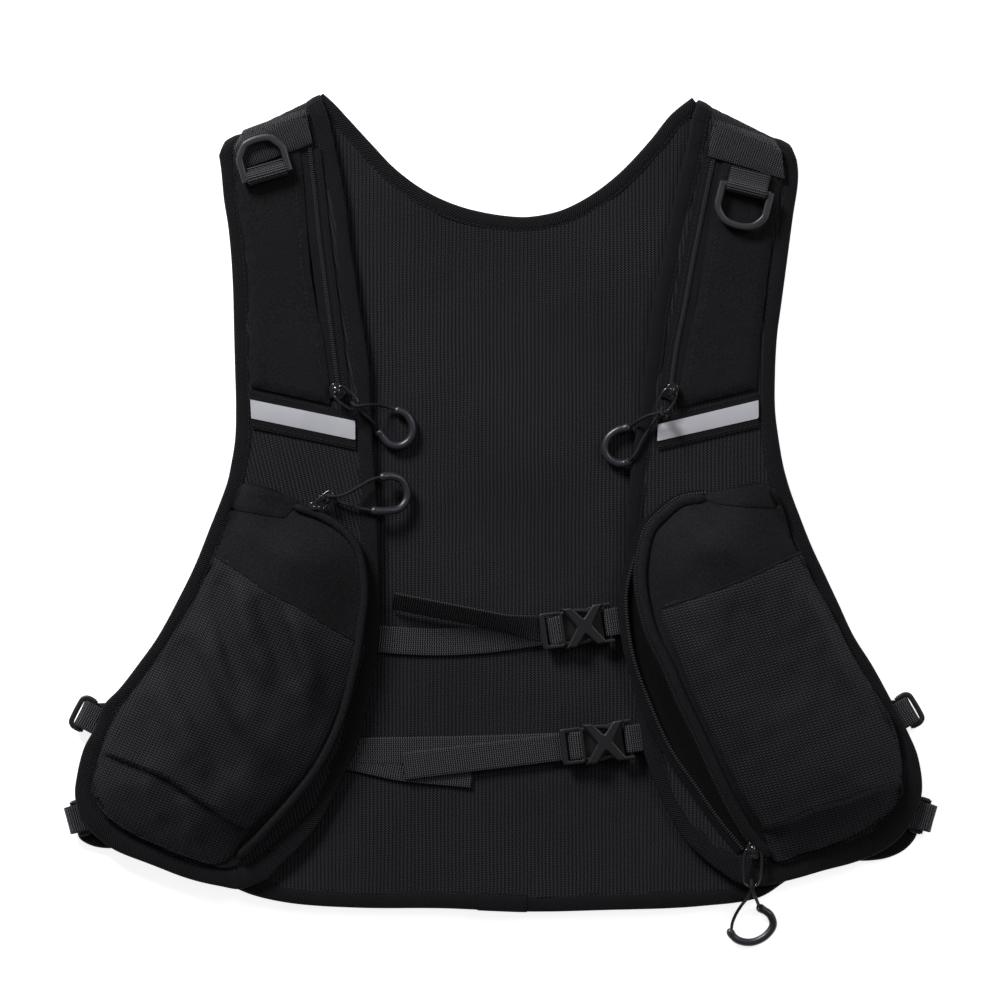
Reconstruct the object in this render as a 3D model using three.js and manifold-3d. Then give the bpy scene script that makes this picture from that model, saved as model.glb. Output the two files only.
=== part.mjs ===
// Pocket vest with reflective bands, lying flat on its back with both chest straps buckled.
// Millimetres. +Z points away from the surface it lies on, +Y towards the collar, and +X towards the
// vest's left arm. The origin is under the middle of the vest, on that surface.
// In names, l is the side at -X and r the side at +X.
import * as THREE from 'three';
import { mergeVertices } from 'three/addons/utils/BufferGeometryUtils.js';
import Module from 'manifold-3d';

const wasm = await Module();
wasm.setup();

// ---------------------------------------------------------------- driving dimensions

const GAP = 0.3; // between pieces that lie on each other
const BINDING_WIDTH = 9; // edge tape, folded over every edge
const WEBBING_WIDTH = 15; // chest and side webbing
const LOOP_WEBBING_WIDTH = 22.2; // webbing that holds a D-ring
const WEBBING_THICK = 1.2;
const LEG_THICK = 1.16; // a straight leg is a shade thinner than the turn that it is joined to

// Heights of the layers, from the surface up.
const Z = {
  shell: [0, 1.4], // outer cloth of the back
  foam: [1.7, 5.7], // padding of the back
  lining: [6.0, 7.6], // spacer mesh towards the wearer
  strap: [7.9, 9.1], // chest webbing on the lining
  panel: [9.8, 12.6], // front panels
  binding: [9.4, 13.0], // edge tape round a front panel
  applique: 13.3, // underside of what is sewn on a front panel
};

const THROUGH = [-5, 25]; // tall enough to cut through any sheet
const THROUGH_PLASTIC = [-9, 9]; // the same through a buckle about its own middle

const FOLD_CENTRE_Z = 6.5; // the shoulders roll over a line at this height
const FOLD_RADIUS = 6.5;
const FOLD_DEPTH = 14; // how far the rolled edge reaches from the shoulder line
const FOLD_SLANT = 0.35; // how far it leans towards the arm for each millimetre of that depth
const FOLD_LAP = 4; // how far a front panel's sheet stops short of its rolled edge's turn
const PANEL_FOLD_RADIUS = FOLD_RADIUS - 0.4; // so that its faces meet the sheet's
const ROLL_INSET = 3; // from the shoulder's ends to the rolled panel
const TAPE_END_INSET = 0.5;
const TAPE_ROOM = 0.8; // between a panel and the tape that wraps it, at the fold

const SHOULDER_POCKET_THICK = 2.1;
const PATCH_THICK = 1.3;
const BAND_THICK = 1.2;
const CHEST_ZIP_WIDTH = 5;
const ZIP_THICK = 1.7;
const POCKET_WALL = 2.2;
const POCKET_TAPER = 0.14; // how much smaller the pocket's face is than its foot
const POCKET_RINGS = 4;
const MESH_POCKET_DEPTH = 7;
const MESH_POCKET_TAPER = 0.05;
const MESH_POCKET_INSET = 0.03; // how much smaller it is than the face that it lies on
const MESH_POCKET_RINGS = 2;
const MESH_WALL = 1.2;

const D_RING = { width: 31, depth: 25, wire: 3.8, barRadius: 1.9 };
const BUCKLE = { width: 22, length: 28.4, half: 2.8, wall: 1.1, barRadius: 1.3, barZ: 12.5 };
const MALE = { back: -4, front: 8, side: 2, tineTo: 24, tineWidth: 2.6, tinePitch: 6 };
const FEMALE = {
  back: 8.8, cavityTo: 26.2, slotFrom: 28.2, slotTo: 33.5, waist: 4.2, waistAt: 18.5, waistOut: 12.6,
};
const SIDE_BUCKLE = { width: 20, reach: 8.6, rail: 2.1, half: 1.3, barZ: 5, strapZ: 1.6 };
const SLIDER = {
  length: 9.5, width: 7, thick: 2, arch: 3.6, archLength: 6.8, archWidth: 2.2, eyeLength: 4, eye: 1.2,
};
const PULLER_THICK = 1.4;
const PULLER_WIRE = 1.4;
const CORD_RADIUS = 0.9;
const CORD_TURN = 3; // how far the cord's middle is from the wire it loops round
const POCKET_ZIP_WIDTH = 4;
const GRIP_RADIUS = 2.2;

// ---------------------------------------------------------------- materials

const finish = (color, roughness = 0.95) => () =>
  new THREE.MeshStandardMaterial({ color, roughness, metalness: 0 });

const MATERIALS = {
  spacer_mesh: finish(0x1d1d20),
  softshell: finish(0x1e1e21, 0.85),
  binding_tape: finish(0x202022),
  webbing: finish(0x2f2f33, 0.8),
  foam: finish(0x141416),
  reflective: finish(0xc4c4c8, 0.45),
  zip: finish(0x18181a, 0.6),
  cord: finish(0x1a1a1c, 0.8),
  hardware: finish(0x303034, 0.35),
  grip: finish(0x36363b, 0.25),
};

// ---------------------------------------------------------------- geometry helpers

const turned = (x, y, degrees) => {
  const a = THREE.MathUtils.degToRad(degrees);
  return [x * Math.cos(a) - y * Math.sin(a), x * Math.sin(a) + y * Math.cos(a)];
};

// Points evenly spaced along a smooth curve through the given ones.
function smooth(points, count, closed = false) {
  const curve = new THREE.CatmullRomCurve3(
    points.map(([x, y, z = 0]) => new THREE.Vector3(x, y, z)),
    closed,
    'centripetal',
  );
  const spaced = curve.getSpacedPoints(count);
  if (closed) spaced.pop();
  return spaced.map((p) => [p.x, p.y, p.z]);
}

// The line moved sideways, to its left where the distance is positive.
function moved(points, distance, closed = false) {
  const n = points.length;
  return points.map(([x, y], i) => {
    const a = points[closed ? (i + n - 1) % n : Math.max(i - 1, 0)];
    const b = points[closed ? (i + 1) % n : Math.min(i + 1, n - 1)];
    const size = Math.hypot(b[0] - a[0], b[1] - a[1]);
    return [x - ((b[1] - a[1]) / size) * distance, y + ((b[0] - a[0]) / size) * distance];
  });
}

// A flat shape with its outline anticlockwise and its holes clockwise.
function shapeOf(points, holes = []) {
  const wound = (line, anticlockwise) => {
    const corners = line.map(([x, y]) => new THREE.Vector2(x, y));
    const isAnticlockwise = THREE.ShapeUtils.area(corners) > 0;
    return isAnticlockwise === anticlockwise ? corners : corners.reverse();
  };
  const shape = new THREE.Shape(wound(points, true));
  shape.holes = holes.map((hole) => new THREE.Path(wound(hole, false)));
  return shape;
}

function plate(points, [low, high], holes = []) {
  const geometry = new THREE.ExtrudeGeometry(shapeOf(points, holes), {
    depth: high - low,
    bevelEnabled: false,
  });
  return geometry.translate(0, 0, low);
}

// A flat strip as wide as given, lying to the left of a line.
const strip = (line, width, heights, from = 0) =>
  plate([...moved(line, from), ...moved(line, from + width).reverse()], heights);

// A profile in (distance along, height), as wide as given, that points along a heading on the plan.
function band(profile, width, [x, y], heading, holes = []) {
  const geometry = new THREE.ExtrudeGeometry(shapeOf(profile, holes), {
    depth: width,
    bevelEnabled: false,
  });
  return geometry
    .rotateX(Math.PI / 2)
    .translate(0, width / 2, 0)
    .rotateZ(THREE.MathUtils.degToRad(heading))
    .translate(x, y, 0);
}

// The outline of a webbing seen from its edge, whose middle follows a line of (along, height).
const edgeOn = (line, thick = WEBBING_THICK) => [
  ...moved(line, thick / 2),
  ...moved(line, -thick / 2).reverse(),
];

const arc = (cx, cy, radius, from, to, steps) =>
  Array.from({ length: steps + 1 }, (_, i) => {
    const a = THREE.MathUtils.degToRad(from + ((to - from) * i) / steps);
    return [cx + radius * Math.cos(a), cy + radius * Math.sin(a)];
  });

// A soft hump over an outline: its sides rise steeply and round off to a smaller flat face.
function hump(points, [low, high], taper, rings, centre) {
  const geometry = new THREE.ExtrudeGeometry(shapeOf(points), {
    depth: high - low,
    steps: rings,
    bevelEnabled: false,
  });
  const place = geometry.attributes.position;
  for (let i = 0; i < place.count; i += 1) {
    const t = place.getZ(i) / (high - low);
    const size = 1 - taper * (1 - Math.sqrt(Math.max(0, 1 - t * t)));
    place.setX(i, centre[0] + (place.getX(i) - centre[0]) * size);
    place.setY(i, centre[1] + (place.getY(i) - centre[1]) * size);
  }
  return geometry.translate(0, 0, low);
}

function tube(points, radius, sides, steps) {
  const section = Array.from({ length: sides }, (_, i) => {
    const a = (2 * Math.PI * i) / sides;
    return [radius * Math.cos(a), radius * Math.sin(a)];
  });
  const path = new THREE.CatmullRomCurve3(
    points.map((p) => new THREE.Vector3(...p)),
    false,
    'centripetal',
  );
  return new THREE.ExtrudeGeometry(shapeOf(section), { steps, extrudePath: path });
}

function toManifold(geometry) {
  const bare = geometry.index ? geometry.toNonIndexed() : geometry.clone();
  bare.deleteAttribute('normal');
  bare.deleteAttribute('uv');
  const merged = mergeVertices(bare, 1e-4);
  return new wasm.Manifold(
    new wasm.Mesh({
      numProp: 3,
      vertProperties: new Float32Array(merged.attributes.position.array),
      triVerts: new Uint32Array(merged.index.array),
    }),
  );
}

function toGeometry(manifold) {
  const { vertProperties, triVerts } = manifold.getMesh();
  const geometry = new THREE.BufferGeometry();
  geometry.setAttribute('position', new THREE.BufferAttribute(vertProperties, 3));
  geometry.setIndex(new THREE.BufferAttribute(triVerts, 1));
  return geometry;
}

const joined = (...parts) => toGeometry(parts.map(toManifold).reduce((a, b) => a.add(b)));
const cut = (first, ...tools) =>
  toGeometry(tools.map(toManifold).reduce((a, b) => a.subtract(b), toManifold(first)));

const box = (width, depth, [low, high]) =>
  new THREE.BoxGeometry(width, depth, high - low).translate(0, 0, (low + high) / 2);

const boxAlong = (from, to, depth, heights) =>
  box(to - from, depth, heights).translate((from + to) / 2, 0, 0);

const place = (geometry, [x, y], heading = 0) =>
  geometry.rotateZ(THREE.MathUtils.degToRad(heading)).translate(x, y, 0);

// ---------------------------------------------------------------- the vest's outlines

// Each side's curves, in (x, y). shoulder runs from the neck end to the arm end of the shoulder fold.
const SIDES = {
  l: {
    towards: -1,
    shoulder: [[-98.2, 225.8], [-152.2, 199.4]],
    edge: [
      [-152.2, 199.4], [-155.4, 191], [-152.1, 166.4], [-148.2, 136], [-146, 73], [-146, 34.4],
      [-149.9, 12.4], [-159.2, -12.4], [-188.9, -74.5], [-209.3, -102], [-219, -113], [-229.1, -135],
      [-234, -161], [-222, -184], [-192.8, -198.8], [-160, -209.5], [-140, -212], [-122, -200.5],
      [-107.5, -186.7], [-89.9, -158.1], [-78.4, -133.4], [-70.1, -97.6], [-66.3, -53.6],
      [-67.4, -9.6], [-71.8, 72.9], [-77.3, 108.6], [-83.9, 158.1], [-93.2, 206], [-98.2, 225.8],
    ],
    backArmhole: [
      [-152.2, 199.4], [-151, 166], [-146.5, 136], [-144, 73], [-144, 34], [-148, 5], [-156, -30],
      [-161, -80], [-162, -130], [-158, -180], [-149, -211],
    ],
    shoulderPocket: [
      [-143.3, 194], [-110.3, 206], [-109.5, 190], [-106.4, 152.6], [-104.2, 125], [-100.9, 105.9],
      [-94.8, 72], [-93.8, 54], [-137.5, 63.6], [-138.3, 111.4], [-139.4, 136], [-144.5, 176],
    ],
    patch: [[-147.1, 202], [-107.2, 215.2], [-103.4, 196.8], [-144.4, 181.4]],
    band: [[-137.2, 61.9], [-80, 49.2], [-79.5, 28.9], [-136.7, 41]],
    chestZip: [[-103.7, 188.4], [-89.4, 61.9]],
    dRing: { bar: [-127.9, 179.8], tilt: 16, root: 6.2, flipped: true },
    pocket: [
      [-141.6, 10.7], [-113, 3], [-96.5, -8], [-85.5, -15.1], [-76, -34.4], [-73.6, -50.9],
      [-77.8, -83.9], [-86, -116.9], [-97, -141.6], [-113, -163.6], [-129.5, -181.2], [-147.7, -200],
      [-170.8, -193.6], [-192.8, -184.8], [-209.3, -176], [-218.4, -167], [-222.4, -155.4],
      [-217, -130.6], [-208.3, -114.1], [-186.3, -83.9], [-164.5, -48.1], [-152.4, -20.6],
    ],
    pocketCentre: [-140, -95],
    pocketDepth: 16,
    meshPocket: [
      [-155.9, -29.4], [-126.8, -50], [-110, -57.5], [-77.3, -75.6], [-85.5, -110], [-104.8, -147],
      [-135, -177.4], [-150, -196], [-192.8, -184], [-216, -166], [-219.6, -152], [-208.3, -116],
      [-186.3, -85],
    ],
    meshMouth: [[-155.9, -29.4], [-77.3, -75.6]],
    pocketZip: [
      [-108, 1.5], [-96.5, -7], [-85.5, -14.3], [-75.6, -32], [-72.8, -50.9], [-77, -83.9],
      [-85.2, -117.3], [-96.3, -142], [-112.4, -164.2], [-128.2, -182.4], [-141.6, -197],
    ],
    mouth: null,
    sideStraps: {
      upper: { bar: [-227.3, -117.6], heading: 152.5, root: [-163.6, -118], outward: true },
      lower: { bar: [-233.9, -174.3], heading: 195.5, root: [-161, -178], outward: false },
    },
  },
  r: {
    towards: 1,
    shoulder: [[105.9, 223.6], [157.4, 198.6]],
    edge: [
      [157.4, 198.6], [163.4, 187], [163, 170], [158.7, 141.6], [152.1, 92], [151, 51],
      [155.4, 20.6], [165.3, -9.6], [178.5, -39.9], [193.9, -72.9], [214.2, -107.5], [225.8, -127.9],
      [231.8, -158.1], [219.7, -184], [195, -197.7], [164, -206.5], [140, -211], [121, -202.5],
      [101.5, -185.6], [83.9, -152.6], [75.1, -115.2], [70.1, -64.6], [68.5, -20.6], [72.9, 28.9],
      [80.6, 83.9], [88.3, 130.6], [99.3, 182.9], [105.9, 223.6],
    ],
    backArmhole: [
      [157.4, 198.6], [159, 175], [156, 142], [149.5, 92], [148.5, 51], [152, 20], [159, -15],
      [166, -60], [169, -110], [167, -160], [158, -208],
    ],
    shoulderPocket: [
      [153, 194], [123.5, 203], [121.8, 187], [116.8, 166.4], [112.5, 138.9], [108.1, 111.4],
      [102.6, 86.6], [98.2, 60], [98, 52.2], [140.5, 62.6], [142.2, 89.4], [145, 111.4],
      [148.3, 138.9], [152.2, 161], [154.6, 184],
    ],
    patch: [[116.9, 210.3], [153.7, 197.3], [155.4, 177.6], [113.8, 190.4]],
    band: [[86.6, 49], [141.1, 60.8], [141.6, 41.5], [86.1, 28.9]],
    chestZip: [[116.3, 182.9], [93.8, 61.9]],
    dRing: { bar: [134.8, 171.6], tilt: -14, root: 10.8, flipped: false },
    pocket: [
      [147, 10.6], [112.5, 4.7], [98.7, 1.4], [87.7, -6.9], [80.6, -15.1], [76.4, -31.6],
      [76.4, -48], [82.2, -72.9], [98.7, -108.6], [116.9, -147.1], [136.5, -178], [146.5, -189.5],
      [153, -197], [167, -191.5], [184, -186], [200.5, -177.8], [213.5, -168.4], [218.8, -155.4],
      [217.8, -133.4], [203.5, -102], [181.5, -61.9], [162.8, -26.1],
    ],
    pocketCentre: [146, -92],
    pocketDepth: 22,
    meshPocket: [
      [163.6, -27.8], [131.7, -42.1], [86.6, -58], [88, -76], [100, -103], [118, -142],
      [139, -180], [149, -195], [164.7, -190], [199, -176], [215.5, -155], [214, -133],
      [200, -100], [178, -56],
    ],
    meshMouth: [[86.6, -58], [163.6, -27.8]],
    pocketZip: [
      [108, 4.8], [98, 2.2], [87, -6.2], [79.6, -14.8], [75.4, -31.4], [75.4, -48.2],
      [81.2, -73.3], [97.8, -109], [116, -147.6], [135.6, -178.6],
    ],
    mouth: { from: [80, -40], to: [126, -162], width: 40, heights: [15.6, 29.5] },
    sideStraps: {
      upper: { bar: [222.9, -115.8], heading: 30.3, root: [171.6, -118], outward: true },
      lower: { bar: [233.9, -173.2], heading: -16.3, root: [168.4, -176], outward: false },
    },
  },
};

const NECKLINE = [
  [-98.2, 225.8], [-82.8, 210.4], [-58, 184], [-25, 164.2], [8, 157.6], [32.7, 160.9],
  [65.7, 181.8], [93, 213.5], [105.9, 223.6],
];
const HEM = [
  [-149, -211], [-115.8, -220.8], [-33.3, -223.6], [16.2, -225.5], [109.7, -222.5], [158, -208],
];

// Zip pulls. slider is where the runner's arch stands, heading is the way its wire lies, low is the
// underside of the runner and wire the size of the wire (across, along). A cord comes from one socket
// of the moulded finger loop (over), turns round the wire's far end and goes back to the other socket
// (under). The points are (x, y, z).
const PULLS = {
  l_chest: {
    slider: [-89.4, 61.4], heading: -40, low: 15.7, wire: [7.6, 14],
    over: [
      [-58, 51.2, 10.1], [-62, 52.6, 10.6], [-66, 53.2, 13.2], [-70, 53.6, 17.8], [-75, 53.2, 21],
    ],
    under: [[-76.2, 49.8, 15.3], [-72.4, 46.4, 15], [-69.2, 43.4, 14], [-67.6, 39.8, 10.8]],
    grip: [
      [-57, 50.8, 10.1], [-52.2, 48.8, 10.1], [-49, 44.4, 10.1], [-48.2, 39, 10.1],
      [-50.4, 34, 10.1], [-55.4, 31.2, 10.1], [-61, 32.2, 10.1], [-66.6, 38.6, 10.1],
    ],
  },
  l_pocket: {
    slider: [-101.4, 2.8], heading: 4, low: 15.3, wire: [7.6, 10],
    over: [
      [-66, 13.9, 15.8], [-71, 12.4, 17], [-78, 8.4, 19], [-85, 4.6, 20.8], [-89, 3.4, 21.4],
    ],
    under: [
      [-90, 1.4, 15.6], [-86, -0.6, 15.4], [-80, -2.6, 15.4], [-75, -3.6, 15.6], [-70.8, -4.4, 15.8],
    ],
    grip: [
      [-65, 14, 15.8], [-60, 14.5, 14.6], [-54.4, 12.4, 12.9], [-51.4, 7, 11.9],
      [-51.6, 1.6, 11.9], [-55.4, -3.2, 13.1], [-62, -4.6, 14.9], [-69.8, -4.5, 15.9],
    ],
  },
  r_chest: {
    slider: [93.7, 61], heading: -119, low: 15.7, wire: [7.6, 14],
    over: [[71.4, 41.8, 10.3], [73, 43, 13], [76, 45, 17.6], [80.6, 47.6, 21]],
    under: [
      [84.6, 45, 15.6], [80.6, 39, 14.9], [77.2, 33, 14.8], [74.8, 28, 14.8], [72.8, 25, 14.6],
      [71, 23.2, 12.9],
    ],
    grip: [
      [70.4, 41.4, 10.1], [64, 39.6, 10.1], [59, 35.4, 10.1], [57.4, 29.6, 10.1],
      [59.4, 24.6, 10.1], [64.4, 21.6, 10.3], [69.8, 22, 11.2],
    ],
  },
  r_pocket: {
    slider: [138.4, -190.6], heading: -93, low: 15.3, wire: [9, 20],
    over: [[142.6, -222.8, 3.4], [141.6, -220.4, 8.6], [140.2, -217.4, 14.6], [138.4, -213.4, 20.4]],
    under: [
      [137, -213.6, 15.2], [135.6, -217.4, 11.6], [133.2, -221.4, 5.6], [130.2, -226.8, 1.6],
      [128, -232, 1.6], [127.4, -235.6, 2.1],
    ],
    grip: [
      [143.4, -223.8, 2.5], [148.6, -227.4, 2.5], [150.4, -233, 2.5], [146.4, -239, 2.5],
      [138.6, -242.6, 2.5], [131, -241.4, 2.5], [127, -237.4, 2.5],
    ],
  },
};

// ---------------------------------------------------------------- sub-parts

// A deep slab over everything beyond a line that lies inside the shoulder fold.
function beyondShoulder([[x0, y0], [x1, y1]], inside) {
  const heading = THREE.MathUtils.radToDeg(Math.atan2(y1 - y0, x1 - x0));
  const outwards = x1 < x0 ? -1 : 1;
  const length = Math.hypot(x1 - x0, y1 - y0);
  const reach = 60;
  const slab = new THREE.BoxGeometry(length + reach, reach, 60);
  slab.translate(length / 2, outwards * (reach / 2 - inside), 10);
  return place(slab, [x0, y0], heading);
}

// A stretch of rolled edge, whose section is a J on its side: a top leg, a half turn and a foot.
function roll({ shoulder: [[x0, y0], [x1, y1]], towards }, from, to, radius, thick) {
  const reach = FOLD_DEPTH - FOLD_RADIUS;
  const outer = arc(0, FOLD_CENTRE_Z, radius, 90, -90, 8);
  const inner = arc(0, FOLD_CENTRE_Z, radius - thick, -90, 90, 8);
  const profile = [
    [-reach, FOLD_CENTRE_Z + radius], ...outer, [-reach, FOLD_CENTRE_Z - radius],
    [-reach, FOLD_CENTRE_Z - radius + thick], ...inner, [-reach, FOLD_CENTRE_Z + radius - thick],
  ];
  const slant = new THREE.Matrix4().makeShear(towards * FOLD_SLANT, 0, 0, 0, 0, 0);
  const section = band(profile, to - from, [-FOLD_RADIUS, 0], 0).applyMatrix4(slant);
  const share = (from + to) / 2 / Math.hypot(x1 - x0, y1 - y0);
  const along = THREE.MathUtils.radToDeg(Math.atan2(y1 - y0, x1 - x0));
  return place(
    section,
    [x0 + (x1 - x0) * share, y0 + (y1 - y0) * share],
    along + towards * 90,
  );
}

const shoulderWidth = ({ shoulder: [[x0, y0], [x1, y1]] }) => Math.hypot(x1 - x0, y1 - y0);

// The two rolled ends of a front panel's edge tape, or with some room round them, what the panel
// leaves free. That room is wider towards the outside, where the tape's end isn't covered.
function rolledTape(side, room = 0) {
  const thick = Z.binding[1] - Z.binding[0] + 2 * room;
  const across = shoulderWidth(side);
  const outside = 4 * room;
  return [
    roll(side, TAPE_END_INSET - outside, BINDING_WIDTH + room, FOLD_RADIUS + room, thick),
    roll(side, across - BINDING_WIDTH - room, across + outside, FOLD_RADIUS + room, thick),
  ];
}

function frontPanel(side) {
  const line = smooth(side.edge, 64);
  const sheet = cut(
    plate(line, Z.panel),
    strip(line, -side.towards * (BINDING_WIDTH + GAP), THROUGH),
    beyondShoulder(side.shoulder, FOLD_RADIUS + FOLD_LAP),
  );
  const thick = Z.panel[1] - Z.panel[0];
  const rolled = roll(side, ROLL_INSET, shoulderWidth(side) - ROLL_INSET, PANEL_FOLD_RADIUS, thick);
  return cut(joined(sheet, rolled), ...rolledTape(side, TAPE_ROOM));
}

function frontBinding(side) {
  const tape = strip(smooth(side.edge, 64), -side.towards * BINDING_WIDTH, Z.binding);
  return joined(cut(tape, beyondShoulder(side.shoulder, FOLD_DEPTH - 1)), ...rolledTape(side));
}

const neckLine = smooth(NECKLINE, 22);

// Down the l armhole and side, along the hem, and up the r side and armhole.
const rimLine = [
  ...smooth(SIDES.l.backArmhole, 20).slice(0, -1),
  ...smooth(HEM, 12).slice(0, -1),
  ...smooth(SIDES.r.backArmhole, 20).reverse(),
];
const backOutline = [...rimLine, ...neckLine.slice(1, -1).reverse()];

const backFolds = () =>
  Object.values(SIDES).map((side) => beyondShoulder(side.shoulder, FOLD_DEPTH + GAP));

const backSheet = (heights) =>
  cut(
    plate(backOutline, heights),
    strip(neckLine, -BINDING_WIDTH - GAP, THROUGH),
    strip(rimLine, BINDING_WIDTH + GAP, THROUGH),
    ...backFolds(),
  );

const neckBinding = () =>
  cut(strip(neckLine, -BINDING_WIDTH, [0, Z.lining[1]]), ...backFolds());

const backBinding = () =>
  cut(strip(rimLine, BINDING_WIDTH, [0, Z.lining[1]]), ...backFolds());

function pocketBody(side) {
  const high = Z.applique + side.pocketDepth;
  const outline = smooth(side.pocket, 44, true);
  const outer = hump(outline, [Z.applique, high], POCKET_TAPER, POCKET_RINGS, side.pocketCentre);
  const hollow = hump(
    moved(outline, side.towards * POCKET_WALL, true),
    [Z.applique - 2, high - POCKET_WALL],
    POCKET_TAPER,
    POCKET_RINGS,
    side.pocketCentre,
  );
  if (!side.mouth) return cut(outer, hollow);
  const { from, to, width, heights } = side.mouth;
  const length = Math.hypot(to[0] - from[0], to[1] - from[1]);
  const heading = THREE.MathUtils.radToDeg(Math.atan2(to[1] - from[1], to[0] - from[0]));
  const inwards = width / 4;
  const opening = box(length, width, heights).translate(length / 2, inwards - width / 2, 0);
  return cut(outer, hollow, place(opening, from, heading));
}

// The mesh pocket is a shallow tray on the pocket's face, open along its upper edge.
function meshPocket(side) {
  const low = Z.applique + side.pocketDepth + GAP;
  const fit = 1 - POCKET_TAPER - MESH_POCKET_INSET;
  const shrunk = ([x, y]) => [
    side.pocketCentre[0] + (x - side.pocketCentre[0]) * fit,
    side.pocketCentre[1] + (y - side.pocketCentre[1]) * fit,
  ];
  const outline = side.meshPocket.map(shrunk);
  const high = low + MESH_POCKET_DEPTH;
  const outer = hump(
    outline,
    [low, high],
    MESH_POCKET_TAPER,
    MESH_POCKET_RINGS,
    side.pocketCentre,
  );
  const hollow = hump(
    moved(outline, side.towards * MESH_WALL, true),
    [low - 2, high - MESH_WALL],
    MESH_POCKET_TAPER,
    MESH_POCKET_RINGS,
    side.pocketCentre,
  );
  const [a, b] = side.meshMouth.map(shrunk);
  const length = Math.hypot(b[0] - a[0], b[1] - a[1]);
  const heading = THREE.MathUtils.radToDeg(Math.atan2(b[1] - a[1], b[0] - a[0]));
  const room = 30;
  const clear = (inside, ends, heights) =>
    place(box(length + ends, room, heights).translate(length / 2, room / 2 - inside, 0), a, heading);
  const mouth = clear(6, room, [low - 2, high - MESH_WALL]);
  const above = clear(2, 2 * room, [low - 3, high + 3]);
  return cut(outer, hollow, mouth, above);
}

const chestZip = (side) =>
  strip(
    moved(side.chestZip, -CHEST_ZIP_WIDTH / 2),
    CHEST_ZIP_WIDTH,
    [Z.applique, Z.applique + ZIP_THICK],
  );

const pocketZip = (side) =>
  strip(
    smooth(side.pocketZip, 30),
    -side.towards * POCKET_ZIP_WIDTH,
    [Z.applique, Z.applique + ZIP_THICK],
    -side.towards * 0.5,
  );

// The eye of the webbing loop round a D-ring's bar, and the height of that bar.
const LOOP_EYE = D_RING.barRadius + GAP;
const SHOULDER_TOP = Z.applique + SHOULDER_POCKET_THICK;
const SHOULDER_POCKET_HEIGHTS = [Z.applique, SHOULDER_TOP];
const PATCH_HEIGHTS = [SHOULDER_TOP + GAP, SHOULDER_TOP + GAP + PATCH_THICK];
const BAND_HEIGHTS = [Z.applique, Z.applique + BAND_THICK];
const D_RING_BAR_Z = SHOULDER_TOP + GAP + WEBBING_THICK + LOOP_EYE;

const roundBar = (radius, length) => new THREE.CylinderGeometry(radius, radius, length, 12);

// A D-ring with its bar along X, its bow towards +Y and its face level.
function dRing({ bar, tilt, flipped }) {
  const { width, depth, wire, barRadius } = D_RING;
  const bowRadius = 22;
  const corner = 7;
  const cornerY = depth - corner - 5;
  const outline = (inset, foot) => {
    const half = width / 2 - inset;
    const r = corner - inset;
    return [
      [-half, foot],
      ...arc(-half + r, cornerY, r, 180, 125, 4),
      ...arc(0, depth - bowRadius, bowRadius - inset, 115, 65, 6),
      ...arc(half - r, cornerY, r, 55, 0, 4),
      [half, foot],
    ];
  };
  const bow = cut(
    plate(outline(0, -barRadius), [-wire / 2, wire / 2]),
    plate(outline(wire, -barRadius - 5), [-wire, wire]),
  );
  const ring = joined(bow, roundBar(barRadius, width - wire).rotateZ(Math.PI / 2));
  return place(ring.translate(0, 0, D_RING_BAR_Z), bar, flipped ? tilt : tilt + 180);
}

// The webbing loop round a D-ring's bar: a teardrop seen from its edge.
function dRingLoop({ bar, tilt, root }) {
  const outer = LOOP_EYE + WEBBING_THICK;
  const low = D_RING_BAR_Z - outer;
  const profile = [
    ...arc(0, D_RING_BAR_Z, outer, 150, -90, 12),
    [-root, low],
    [-root, low + 2 * WEBBING_THICK],
  ];
  const eye = [
    ...arc(0, D_RING_BAR_Z, LOOP_EYE, 150, -90, 12),
    [-root / 2 - 0.6, low + WEBBING_THICK],
  ];
  return band(profile, LOOP_WEBBING_WIDTH, bar, tilt - 90, [eye]);
}

const headingOf = ([x0, y0], [x1, y1]) =>
  THREE.MathUtils.radToDeg(Math.atan2(y1 - y0, x1 - x0));

// A webbing's half turn round a bar, with a short stub on each side.
const STUB = 6;
const LAP = 4; // where a leg starts, so that it overlaps the stub
const halfTurn = (bar, heading, barZ, radius) =>
  band(
    edgeOn([[-STUB, barZ - radius], ...arc(0, barZ, radius, -90, 90, 8), [-STUB, barZ + radius]]),
    WEBBING_WIDTH,
    bar,
    heading,
  );

// start is under the left panel, bar is the male half's bar, tail is how far the loose end reaches.
const CHEST_STRAPS = {
  upper: { start: [-84, -73], bar: [25.6, -70.6], heading: 8, tailHeading: 168.9, tail: 86 },
  lower: { start: [-90, -137], bar: [36.8, -134], heading: 7, tailHeading: 187, tail: 91 },
};
const TAIL_DROP = [9, 24]; // where the tail comes down to lie on the leg, from the bar
const ANCHOR_BAR = 33; // from the male half's bar to the female half's
const ANCHOR_LEG = 22;
const SIDE_LEG = 26; // how far the side webbing's upper leg runs in under the panel
const STRAP_MIDDLE = (Z.strap[0] + Z.strap[1]) / 2;
const STRAP_TURN = BUCKLE.barZ - STRAP_MIDDLE;

// Chest webbing: a leg from under the left panel to the buckle's bar, round it, and a loose tail.
function chestStrap({ start, bar, heading, tailHeading, tail }) {
  const length = Math.hypot(bar[0] - start[0], bar[1] - start[1]);
  const leg = edgeOn([[-length, STRAP_MIDDLE], [-LAP, STRAP_MIDDLE]], LEG_THICK);
  const top = BUCKLE.barZ + STRAP_TURN;
  const tailZ = Z.strap[1] + GAP + WEBBING_THICK / 2;
  const end = edgeOn([[LAP, top], [TAIL_DROP[0], top], [TAIL_DROP[1], tailZ], [tail, tailZ]], LEG_THICK);
  return joined(
    band(leg, WEBBING_WIDTH, bar, headingOf(start, bar)),
    halfTurn(bar, heading, BUCKLE.barZ, STRAP_TURN),
    band(end, WEBBING_WIDTH, bar, tailHeading),
  );
}

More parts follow.
